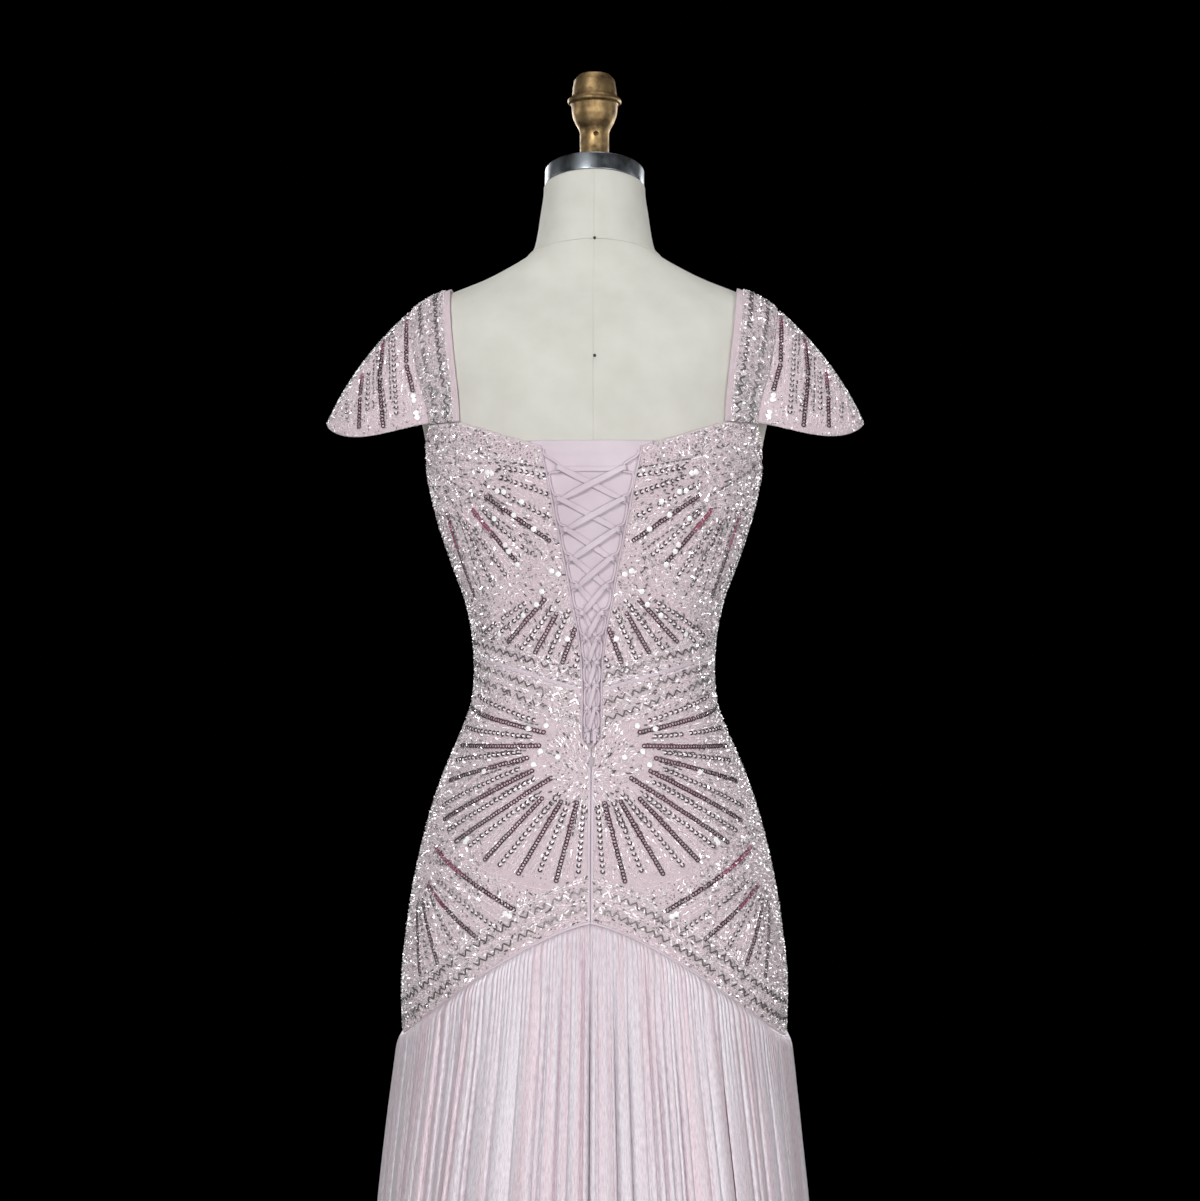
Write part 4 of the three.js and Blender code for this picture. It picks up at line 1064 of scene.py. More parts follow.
def make_form_pins(finish):
    """Two pins in the centre back of the linen."""
    bodies = []
    for z in (FORM_PIN, FORM_SEAM):
        inner, outer = (on_linen(np.array([-0.03]), np.array([z]), out)[0] for out in (-1.0, 1.3))
        path = np.array([inner, outer])
        bodies.append(sweep(path, np.array([(1, 0, 0)] * 2), round_section(1.3, 14)))
    return solid_piece("form_pins", bodies, finish["pin"])


def make_steel_ring(finish):
    radius, height = NECK_RING["radius"], NECK_RING["height"]
    profile = rounded_profile([
        (0, 0.4), (radius - 1.2, 0.4), (radius, 1.6), (radius, height - 1.2), (radius - 1.2, height),
        (radius - 4, height), (radius - 4.6, height - 0.8), (30, height - 0.8), (0, height - 0.8),
    ], 0.6)
    points, faces = turned_body(profile, 128)
    a = math.atan(NECK_TILT)
    y, z = points[:, 1].copy(), points[:, 2].copy()
    points[:, 1] = y * math.cos(a) - z * math.sin(a)
    points[:, 2] = y * math.sin(a) + z * math.cos(a) + NECK_TOP + 0.4
    return solid_piece("steel_neck_ring", (points, faces), finish["steel"], ["form_neck_ring"])


def make_gold_finial(finish):
    seat = NECK_TOP + NECK_RING["height"] / math.cos(math.atan(NECK_TILT)) + 0.8
    foot_radius, foot_top = FINIAL[0]
    points, faces = turned_body(rounded_profile([(0, seat), (foot_radius, seat), *FINIAL], 1.6, 5), 112)
    low = points[:, 2] < (seat + foot_top) / 2
    points[low, 2] = points[low, 2] + NECK_TILT * points[low, 1]
    piece = solid_piece("gold_finial", (points, faces), finish["gold"], ["form_finial"])
    ends = [(FINIAL_HOLE["x"], FINIAL_HOLE[end], FINIAL_HOLE["z"]) for end in ("from", "to")]
    drill = sweep(np.array(ends), np.array([(1, 0, 0)] * 2), round_section(FINIAL_HOLE["radius"], 20))
    cutter = bpy.data.objects.new("hole_cutter", make_mesh("hole_cutter", *drill))
    bpy.context.scene.collection.objects.link(cutter)
    hole = piece.modifiers.new("pin_hole", "BOOLEAN")
    hole.object = cutter
    hole.operation = "DIFFERENCE"
    hole.solver = "EXACT"
    shaped = bpy.data.meshes.new_from_object(piece.evaluated_get(bpy.context.evaluated_depsgraph_get()))
    shaped.set_sharp_from_angle(angle=math.radians(38))
    piece.modifiers.clear()
    piece.data = shaped
    bpy.data.objects.remove(cutter)
    return piece


def make_stand(finish):
    base = turned_body(rounded_profile(STAND_BASE, 3, 5), 128)
    solid_piece("stand_base", base, finish["enamel"], ["form_base"])
    pole = turned_body(rounded_profile(STAND_POLE, 0.8), 64)
    solid_piece("stand_pole", pole, finish["enamel"], ["form_pole"])


# The fitted panels

def panel_grids(low, high, is_front, rows, columns):
    """The outside and inside of a fitted panel, at the back the one on the wearer's left."""
    share = np.linspace(0, 1, rows)
    if is_front:
        angle = np.linspace(PI / 2, 1.5 * PI, columns)[None, :].repeat(rows, 0)
        seam = HALF_SEAM / body_radius(PI / 2, 1100.0)
        angle[:, 0] += seam
        angle[:, -1] -= seam
    else:
        edge = np.full(rows, 0.1)
        for _ in range(8):
            z = mix(low(edge), high(edge), share)
            edge = angle_at_x(np.maximum(opening_half(z), HALF_SEAM), z)
        last = PI / 2 - HALF_SEAM / body_radius(PI / 2, 1100.0)
        angle = mix(edge[:, None], last, np.linspace(0, 1, columns)[None, :])
    z = mix(low(angle), high(angle), share[:, None])
    base = stand_off(angle, z)
    return off_body(angle, z, base + CLOTH), off_body(angle, z, base)


def flat_layout(grid):
    """Lengths across and along a grid, in metres, for the run of a weave or streaks."""
    across = np.linalg.norm(np.diff(grid, axis=1), axis=2).cumsum(1)
    across = np.concatenate([np.zeros((len(grid), 1)), across], 1)
    along = np.linalg.norm(np.diff(grid, axis=0), axis=2).cumsum(0)
    along = np.concatenate([np.zeros((1, grid.shape[1])), along], 0)
    return np.stack([across, along], -1) * MM


def cloth_wall(name, outer, inner, material, node):
    """A piece of cloth as a closed wall between its outside and its inside."""
    points, faces, uv = wall(outer, inner, flat_layout(outer))
    return new_piece(name, make_mesh(name, points, [faces], uv), [material], [node])


def yoke_low(angle):
    return hip_seam(angle) + HALF_SEAM


def yoke_high(angle):
    return waist_seam(angle) - HALF_SEAM


def bodice_low(angle):
    return waist_seam(angle) + HALF_SEAM


def bodice_high(angle):
    return top_edge(angle) - HALF_SEAM


def make_panel_pair(name, low, high, rows, columns, finish):
    outer, inner = panel_grids(low, high, False, rows, columns)
    return [
        cloth_wall(f"cloth_{name}_{word}", outer * (side, 1, 1), inner * (side, 1, 1), finish["tulle"],
                   f"{name}_{word}")
        for word, side in SIDES
    ]


def make_panel_front(name, low, high, rows, columns, finish):
    outer, inner = panel_grids(low, high, True, rows, columns)
    return cloth_wall(f"cloth_{name}", outer, inner, finish["tulle"], name)


# The beads' patterns: fans of rays, zigzag bands and strewn borders
# The places in the tables of fans and sparkles were read from the photograph, ray by ray and stone by
# stone, on the left half, and turned from pixels into millimetres.

HIP_FAN = (     # kind, distance from the centre plane and height of the ray's start, and of its end
    ("sequin", 12, 946, 31, 875), ("sequin", 26, 947, 65, 881), ("sequin", 43, 949, 96, 892),
    ("sequin", 35, 967, 123, 906), ("sequin", 52, 973, 135, 924), ("sequin", 57, 984, 131, 959),
    ("sequin", 46, 995, 122, 991), ("sequin", 42, 1007, 113, 1028),
    ("cup", 6, 944, 11, 882), ("cup", 20, 946, 46, 883), ("cup", 27, 954, 83, 887), ("cup", 47, 952, 111, 903),
    ("cup", 50, 966, 131, 915), ("cup", 65, 974, 137, 936), ("cup", 64, 989, 125, 978),
    ("cup", 55, 1003, 117, 1008), ("cup", 50, 1017, 105, 1039),
)
SIDE_FAN = (
    ("crimson", 144, 900, 67, 849), ("crimson", 150, 866, 101, 822), ("sequin", 155, 851, 139, 795),
    ("sequin", 161, 845, 157, 781),
    ("cup", 140, 872, 83, 832), ("cup", 150, 866, 120, 810), ("cup", 159, 859, 149, 798),
)
MID_FAN = (
    ("sequin", 42, 1131, 77, 1090), ("sequin", 31, 1119, 52, 1080), ("sequin", 14, 1107, 27, 1071),
    ("cup", 59, 1128, 101, 1096), ("cup", 57, 1122, 93, 1090), ("cup", 29, 1131, 65, 1083),
    ("cup", 20, 1122, 41, 1074), ("cup", 9, 1087, 16, 1066),
)
UPPER_FAN = (
    ("dash", 90, 1259, 42, 1250), ("cup", 86, 1252, 40, 1243), ("cup", 84, 1243, 38, 1226),
    ("cup", 99, 1239, 40, 1206), ("sequin", 97, 1226, 37, 1184), ("dash", 101, 1218, 46, 1175),
    ("cup", 98, 1212, 53, 1170), ("crimson", 109, 1214, 66, 1163), ("cup", 109, 1198, 77, 1152),
    ("cup", 117, 1204, 89, 1142), ("dash", 124, 1213, 99, 1135), ("crimson", 135, 1212, 108, 1133),
    ("crimson", 153, 1234, 119, 1135), ("dash", 150, 1257, 101, 1223),
)
SPARKLES = (    # distance from the centre plane and height
    (41, 1013), (57, 1010), (97, 970), (113, 907), (111, 910), (76, 846), (72, 844),
    (94, 1247), (90, 1246), (85, 1230), (79, 1229), (63, 1220), (70, 1208), (52, 1195), (88, 1205),
    (78, 1181), (75, 1175), (67, 1163), (36, 1157), (30, 1154), (45, 1138), (62, 1116), (84, 1098),
    (50, 1126), (22, 1094), (46, 990), (30, 985), (52, 978),
)
RAY_PITCH = {"sequin": 2.8, "crimson": 2.8, "cup": 5.0, "dash": 4.8}
FRONT_SPACING = 1.7                 # the front's filling is strewn this much wider
APEX_HIP = (0.0, 968.0)
APEX_UPPER = (152.0, 1262.0)
HIP_BORDER = {"across": 172, "down": 103, "inner": 1.02, "outer": 1.22, "flowers": 1.12, "top": 985}
BORDER_LINES = (1.0, 1.23)          # shares of the hip border's reach
HIP_HEART = {"reach": 40, "petals": 9, "petal": 8, "flat": 1.15, "neck": 50, "narrowing": 0.9}


def ray_path(x0, z0, x1, z1):
    start, end = (laid_out(x0, z0), z0), (laid_out(x1, z1), z1)
    return np.array([start, end])


def sew_ray(work, kind, path):
    """One ray: sequins turn from bright to mauve to dark along it."""
    path = np.asarray(path, float)
    pitch = RAY_PITCH[kind]
    if kind in ("cup", "dash"):
        work.along(kind, path, pitch, wander=0.12, turn=0.1, skip=0.02)
        return
    lengths = work.lengths_along(path)
    turns = (0.42, 0.8) if kind == "crimson" else (0.0, 0.55)
    low = 0.0
    for shade, high in zip(("crimson", "sequin", "dark_sequin"), (*turns, 1.0)):
        run = np.linspace(low, high, 15) * lengths[-1]
        if high > low:
            work.along(shade, read_path(path, lengths, run), pitch, wander=0.1, turn=0.08)
        low = high


def sew_fan(work, rows):
    """Rays of a fan, with fine lines of bugles between neighbours."""
    paths = []
    for kind, x0, z0, x1, z1 in rows:
        path = ray_path(x0, z0, x1, z1)
        paths.append(path)
        sew_ray(work, kind, path)
    order = sorted(paths, key=lambda p: math.atan2(p[1, 1] - p[0, 1], p[1, 0] - p[0, 0]))
    for first, second in zip(order, order[1:]):
        if np.linalg.norm(first[1] - second[1]) > 45:
            continue
        gap = np.linalg.norm(first[1] - second[1])
        lines = max(2, int(gap / 3.4))
        for line in range(1, lines):
            middle = mix(first, second, line / lines)
            if line % 3 == 1:
                joint = mix(middle[0], middle[1], work.random.uniform(0.15, 0.5))
                work.along("dash", np.array([middle[0], joint]), 4.6, wander=0.3, turn=0.12, skip=0.2)
                middle = np.array([joint, middle[1]])
            kind = "bugle" if line % 2 else "pale_bugle"
            work.along(kind, middle, 3.6, wander=0.3, turn=0.14, skip=0.1)


def strewn_kinds(silver, seeds=0.35):
    # The smoke seeds are dark beads, and they also stand in for painted shade in the gaps between the silver
    # beads and for dark reflections on them.
    rest = 1 - silver - seeds
    return (("bugle", silver), ("pale_bugle", rest - 0.12),
            ("seed", seeds * 0.3), ("silver_seed", seeds * 0.35),
            ("tall_seed", seeds * 0.35), ("smoke_seed", 0.09), ("dash", 0.03))


def flat_angle(angle):
    return lambda s, z: np.full(len(s), angle)


def away_from(apex):
    return lambda s, z: np.arctan2(z - apex[1], s - apex[0])


def sew_flowers(work, centres, radius, count=9):
    """Small flowers: a ring of bugles, a ring of dark seeds in it and a silver middle."""
    for centre in centres:
        turn = np.linspace(0, 2 * PI, count, endpoint=False) + work.random.random()
        ring = np.stack([np.cos(turn), np.sin(turn)], -1)
        across = np.stack([-np.sin(turn), np.cos(turn)], -1)
        work.add("pale_bugle", np.array(centre) + ring * radius, across, np.full(count, 0.8))
        inner = ring[::2]
        work.add("smoke_seed", np.array(centre) + inner * radius * 0.55, across[::2], np.full(len(inner), 0.8))
        work.add("silver_seed", np.array(centre)[None], ring[:1], np.array([1.3]))


def clear_of(centres, radius):
    """Keeps strewn beads out of the flowers."""
    centres = np.array(centres)

    def test(s, z):
        return (np.hypot(s[:, None] - centres[:, 0], z[:, None] - centres[:, 1]) > radius).all(1)
    return test


def seam_path(seam, rise, first, last, is_front, count=60):
    """A line at a height over a seam, from a length near the centre to one near the side."""
    s = np.linspace(first, last, count)
    z = np.full(count, 1040.0)
    for _ in range(4):
        angle = angle_of(s, z, is_front)
        z = seam(angle) + (rise(angle) if callable(rise) else rise)
    return np.stack([s, z], -1)


def under_seam(near, far):
    """Depths under the waist seam: near the centre, and far towards the side."""
    return lambda angle: -mix(near, far, width_share(angle, WAIST_SEAM[0]))


def side_girth(z, is_front):
    half = girth_at_angle([PI / 2], [z])[0]
    return girth_rows(np.array([float(z)]))[0, -1] - half if is_front else half


def angle_of(s, z, is_front):
    return angle_at(girth_rows(z)[:, -1] - s, z) if is_front else angle_at(s, z)


def sew_yoke(seed, is_front):
    """Beadwork of one half of the hip yoke."""
    work = ThreadWork(seed, spacing=FRONT_SPACING if is_front else 1.0)
    side = side_girth(800, is_front)
    sew_fan(work, HIP_FAN)
    sew_fan(work, SIDE_FAN)

    def fan_share(s, z):
        return np.hypot(s / HIP_BORDER["across"], (z - APEX_HIP[1]) / HIP_BORDER["down"])

    def over_hip(s, z):
        return z - hip_seam(angle_of(s, z, is_front))

    def under_waist(s, z):
        return waist_seam(angle_of(s, z, is_front)) - z

    box = (1, 270, 700, 1080)

    def heart(s, z):
        up, top = z - APEX_HIP[1], HIP_BORDER["top"]
        edge = HIP_HEART["reach"] + HIP_HEART["petal"] * np.sin(HIP_HEART["petals"] * np.arctan2(up, s))
        neck = HIP_HEART["neck"] - HIP_HEART["narrowing"] * (z - top)
        return (np.hypot(s, up * HIP_HEART["flat"]) < edge) | ((z > top) & (s < neck))

    def border(s, z):
        share = fan_share(s, z)
        return (share > HIP_BORDER["inner"]) & (share < HIP_BORDER["outer"]) & (z < HIP_BORDER["top"])

    def on_border(share, t):
        return HIP_BORDER["across"] * share * np.cos(t), APEX_HIP[1] + HIP_BORDER["down"] * share * np.sin(t)

    work.strew(box, 2.4, lambda s, z: heart(s, z) & (under_waist(s, z) > 30), away_from(APEX_HIP),
               strewn_kinds(0.5, 0.2), 0.25)
    for share in BORDER_LINES:
        edge = np.stack(on_border(share, np.linspace(-PI / 2 + 0.05, 0.35, 90)), -1)
        work.along("pale_bugle", edge, 3.4, 0.1, 0.05)
    flowers = np.stack(on_border(HIP_BORDER["flowers"], np.linspace(-PI / 2 + 0.12, -0.1, 11)), -1)
    flowers = flowers[over_hip(flowers[:, 0], flowers[:, 1]) > HIP_BAND + 3]
    sew_flowers(work, flowers, 4.0)
    no_flower = clear_of(flowers, 5.0)
    work.strew(box, 2.5, lambda s, z: border(s, z) & no_flower(s, z) & (over_hip(s, z) > HIP_BAND - 2),
               away_from(APEX_HIP), strewn_kinds(0.42, 0.35), 1.2)
    work.strew(box, 2.4, lambda s, z: (over_hip(s, z) < HIP_BAND) & (over_hip(s, z) > 3),
               lambda s, z: np.arctan2(-(z * 0 + 46), s * 0 + 80), strewn_kinds(0.4, 0.35), 0.5)
    work.strew(box, 2.4, lambda s, z: (under_waist(s, z) < 36) & (under_waist(s, z) > 2),
               lambda s, z: s * 0 + 0.25, strewn_kinds(0.42, 0.35) + (("flash", 0.1),), 0.6)
    work.strew(box, 5.4, lambda s, z: (over_hip(s, z) > HIP_BAND) & (under_waist(s, z) > 33)
               & ~heart(s, z) & ~border(s, z), away_from(APEX_HIP),
               (("seed", 0.35), ("pale_bugle", 0.3), ("tall_seed", 0.35)), 0.6)
    work.strew(box, 4.4, lambda s, z: (s > 100) & (over_hip(s, z) > 4), flat_angle(0.8),
               (("tall_seed", 0.5), ("flash", 0.45)), 1.5)
    for rise in (14.5, 31):
        work.zigzag(seam_path(hip_seam, rise, 3, side, is_front, 80), 5.2, 4.3)
    for rise in (3, 21.5, 24, 39.5, 42):
        work.along("pale_bugle" if rise in (3, 24) else "bugle",
                   seam_path(hip_seam, rise, 2, side, is_front, 80), 3.6, 0.15, 0.08)
    waist_side = side_girth(1060, is_front)
    for near, far in ((13, 7), (29, 20)):
        work.zigzag(seam_path(waist_seam, under_seam(near, far), 3, waist_side, is_front), 4.8, 4.2)
    for near, far in ((6, 3), (20, 12), (36, 27)):
        line = seam_path(waist_seam, under_seam(near, far), 3, waist_side, is_front)
        work.along("bugle", line, 3.6, 0.15, 0.1)
    return work


def sew_bodice(seed, is_front):
    """Beadwork of one half of the bodice."""
    work = ThreadWork(seed, spacing=FRONT_SPACING if is_front else 1.0)
    sew_fan(work, MID_FAN)
    sew_fan(work, UPPER_FAN)
    apex = (laid_out(*APEX_UPPER) if not is_front else side_girth(APEX_UPPER[1], True) - 6, APEX_UPPER[1])

    def over_waist(s, z):
        return z - waist_seam(angle_of(s, z, is_front))

    def under_top(s, z):
        return top_edge(angle_of(s, z, is_front)) - z

    def far(s, z):
        return np.hypot(s - apex[0], z - apex[1])

    box = (1, 260, 1040, 1300)
    work.strew(box, 2.3, lambda s, z: (over_waist(s, z) < 22) & (over_waist(s, z) > 1.5), flat_angle(0.2),
               strewn_kinds(0.5, 0.35) + (("flash", 0.1),), 0.7)

    def border(s, z):
        return (far(s, z) > 139) & (far(s, z) < 166) & (under_top(s, z) > 30)

    def spine(s, z):
        return (far(s, z) < 50) & (under_top(s, z) > NECK_BAND)

    def middle(s, z):
        return (np.hypot(s, (z - 1150) * 0.8) < 46) & ~border(s, z)

    work.strew(box, 2.5, lambda s, z: border(s, z) & (over_waist(s, z) > 22), away_from(apex),
               strewn_kinds(0.42, 0.35), 1.2)
    work.strew(box, 2.4, spine, away_from(apex), strewn_kinds(0.5, 0.3), 0.4)
    work.strew(box, 2.6, lambda s, z: middle(s, z) & (under_top(s, z) > NECK_BAND), away_from((0, 1165)),
               strewn_kinds(0.35, 0.4), 0.8)
    work.strew(box, 3.6, lambda s, z: (under_top(s, z) > NECK_BAND) & (over_waist(s, z) > 22)
               & ~border(s, z) & ~spine(s, z) & ~middle(s, z), away_from(apex),
               (("seed", 0.2), ("pale_bugle", 0.3), ("tall_seed", 0.35), ("dash", 0.12)), 0.3)
    work.strew(box, 4.4, lambda s, z: (s > 92) & (under_top(s, z) > 2), flat_angle(0.8),
               (("tall_seed", 0.5), ("flash", 0.45)), 1.5)
    side = side_girth(1085, is_front)
    work.zigzag(seam_path(waist_seam, 13, 3, side, is_front), 5.0, 4.2)
    for rise in (5, 20):
        work.along("bugle", seam_path(waist_seam, rise, 3, side, is_front), 3.6, 0.15, 0.1)
    s = np.linspace(2, side_girth(1265, is_front) + 4, 90)
    for drop, kind in ((2.2, "silver_seed"), (NECK_BAND - 1, "bugle"), (NECK_BAND + 1.5, "pale_bugle")):
        z = np.full(len(s), 1270.0)
        for _ in range(4):
            z = top_edge(angle_of(s, z, is_front)) - drop
        work.along(kind, np.stack([s, z], -1), 3.3 if kind != "silver_seed" else 2.2, 0.1, 0.05)
    z = np.full(len(s), 1270.0)
    for _ in range(4):
        z = top_edge(angle_of(s, z, is_front)) - 12
    band = np.stack([s, z], -1)
    lengths = np.concatenate([[0], np.cumsum(np.linalg.norm(np.diff(band, axis=0), axis=1))])
    marks = np.arange(8, lengths[-1] - 8, 15.5)
    centres = read_path(band, lengths, marks)
    sew_flowers(work, centres, 4.4, 11)
    no_flower = clear_of(centres, 5.4)
    work.strew(box, 2.3, lambda s, z: (under_top(s, z) < NECK_BAND) & (under_top(s, z) > 1) & no_flower(s, z),
               flat_angle(0.2), strewn_kinds(0.45, 0.4), 1.3)
    return work


def add_sparkles(work, on_yoke):
    for x, z in SPARKLES:
        if (z < 1045) == on_yoke:
            work.add("sparkle", [(laid_out(x, z), z)], [(1, 0)])


def sew_fitted_panels(sizes, finish):
    """Beads of the fitted panels, one piece for each panel of cloth."""
    pieces = {}
    panels = {"yoke": (sew_yoke, yoke_low, yoke_high, 11), "bodice": (sew_bodice, bodice_low, bodice_high, 21)}

    def back_edge(z):
        return opening_half(z) + 2.0

    for k, (word, side) in enumerate(SIDES):
        for name, (pattern, low, high, seed) in panels.items():
            work = pattern(seed + k, False)
            add_sparkles(work, name == "yoke")
            title = f"{name}_back_{word}"
            pieces[title] = sew(f"beads_{title}", [(work, on_panel(side, False, low, high, back_edge))], sizes,
                                finish)
    for name, (pattern, low, high, _) in panels.items():
        works = [(pattern(31 + k, True), on_panel(side, True, low, high)) for k, (_, side) in enumerate(SIDES)]
        pieces[f"{name}_front"] = sew(f"beads_{name}_front", works, sizes, finish)
    return pieces


# The shoulder: straps and cap sleeves

def body_distance(points):
    radius = np.hypot(points[..., 0], points[..., 1])
    return radius - body_radius(np.arctan2(points[..., 0], points[..., 1]), points[..., 2])


def body_gradient(points):
    change = []
    for axis in range(3):
        d = np.zeros(3)
        d[axis] = 0.4
        change.append(body_distance(points + d) - body_distance(points - d))
    return unit(np.stack(change, -1))


def strap_points(angle, across, out):
    """Points of the strap: angle goes over the shoulder from back to front."""
    angle, across = np.broadcast_arrays(np.asarray(angle, float), np.asarray(across, float))
    lift = np.sin(angle) ** 2
    x = mix(mix(STRAP["inner_foot"], STRAP["inner_top"], lift),
            mix(STRAP["outer_foot"], STRAP["outer_top"], lift), across)
    direction = np.stack([np.zeros_like(angle), np.cos(angle), np.sin(angle)], -1)
    pivot = np.stack([x, np.zeros_like(x), np.full_like(x, STRAP_FOOT)], -1)
    reaches = np.arange(170.0, 4.0, -1.0)
    distance = np.stack([body_distance(pivot + direction * r) for r in reaches])
    first = np.argmax(distance <= 0, axis=0)
    inside, outside = reaches[first], reaches[first] + 1
    for _ in range(16):
        r = (inside + outside) / 2
        beyond = body_distance(pivot + direction * r[..., None]) > 0
        outside = np.where(beyond, r, outside)
        inside = np.where(beyond, inside, r)
    points = pivot + direction * outside[..., None]
    return points + body_gradient(points) * out


def make_strap_surfaces():
    angle = np.linspace(0, PI, 121)[:, None]
    across = np.linspace(0, 1, 17)[None, :]
    outer = strap_points(angle, across, STRAP["gap"] + CLOTH)
    inner = strap_points(angle, across, STRAP["gap"])
    for grid in (outer, inner):
        grid[..., 2] = np.maximum(grid[..., 2], STRAP_FOOT + HALF_SEAM)
    return outer, inner


def sleeve_points(u, v):
    """Points of the middle of the sleeve: u from back to front, v from the strap to the hem."""
    angle = np.radians(mix(SLEEVE["first_angle"], SLEEVE["last_angle"], u))
    root = strap_points(angle, np.ones_like(angle), STRAP["gap"] + CLOTH / 2)
    start_angle = math.radians(SLEEVE["hem_start"])
    around = mix(start_angle, -start_angle, u)
    from_tip = np.abs(2 * u - 1)
    dip = SLEEVE_HEM["back_dip"] * np.sin(SLEEVE_HEM["dip_turn"] * PI * from_tip) ** SLEEVE_HEM["dip_power"]
    rise = SLEEVE_HEM["front_rise"] * np.sin(PI / 2 * from_tip) ** 2
    hem = np.stack([
        SLEEVE["root"] + SLEEVE["reach"] * np.cos(around),
        SLEEVE["depth"] * np.sin(around),
        SLEEVE["hem_tip"] + np.where(u < 0.5, -dip, rise),
    ], -1)
    chord = hem - root
    way = np.stack([-chord[:, 2], np.zeros(len(u)), chord[:, 0]], -1)
    way = unit(way)
    way[:, 1] = np.sin(around) * SLEEVE["crown"]
    start = root + unit(chord) * SLEEVE["root_gap"]
    control = (start + hem) / 2 + way * (SLEEVE["bulge"] * np.sqrt(np.maximum(np.sin(PI * u), 0)))[:, None]
    t = v[None, :, None]
    return (1 - t) ** 2 * start[:, None] + 2 * t * (1 - t) * control[:, None] + t ** 2 * hem[:, None]


def grid_normals(grid):
    around = np.gradient(grid, axis=0)
    down = np.gradient(grid, axis=1)
    return unit(np.cross(around, down))


def make_straps(sizes, finish):
    outer, inner = make_strap_surfaces()
    pieces = []
    for k, (word, side) in enumerate(SIDES):
        a, b = outer * (side, 1, 1), inner * (side, 1, 1)
        cloth = cloth_wall(f"cloth_strap_{word}", a, b, finish["tulle"], f"strap_{word}")
        length = np.linalg.norm(np.diff(a[:, 8], axis=0), axis=1).sum()
        width = 33.0
        surface = Surface(a)
        work = ThreadWork(41 + k, lambda path, at=surface.at: at(path[:, 0] / length, path[:, 1] / width))
        run = np.linspace(1, length - 1, 80)
        for place in (0.36, 0.76):
            path = np.stack([run, np.full(80, place * width)], -1)
            work.zigzag(path, 4.6, 3.8)
        box = (1, length, 5, width)
        work.strew(box, 2.1, lambda s, z: z > 0.17 * width, flat_angle(PI / 2),
                   (("bugle", 0.52), ("flash", 0.24), ("tall_seed", 0.2), ("smoke_seed", 0.03)), 0.9)
        for place in (0.16, 0.97):
            work.along("bugle", np.stack([run, np.full(80, place * width)], -1), 3.0, 0.1, 0.1)
        beads = sew(f"beads_strap_{word}", [(work, surface.finder((length, width), side < 0))], sizes, finish)
        pieces.append((cloth, beads))
    return pieces


# Read from the photograph like the fans, ray by ray
SLEEVE_RAYS = (    # kind, distance from the centre plane and height as seen from behind, start and end
    ("crimson", 177, 1402, 175, 1352), ("sequin", 175, 1350, 168, 1324),
    ("crimson", 199, 1378, 201, 1340), ("sequin", 201, 1338, 196, 1291),
    ("crimson", 219, 1344, 220, 1322), ("sequin", 220, 1320, 220, 1291),
    ("cup", 190, 1386, 183, 1302), ("cup", 205, 1366, 194, 1304), ("cup", 212, 1346, 212, 1306),
    ("cup", 234, 1318, 232, 1300), ("dash", 194, 1384, 189, 1312), ("dash", 208, 1358, 206, 1304),
)
SLEEVE_LINES = {"count": 26, "first": 156, "pitch": 3.2, "lean": 5, "top": 1408, "foot": 1293}
SLEEVE_SPARKLES = ((168, 1320), (167, 1316), (165, 1304), (164, 1300))


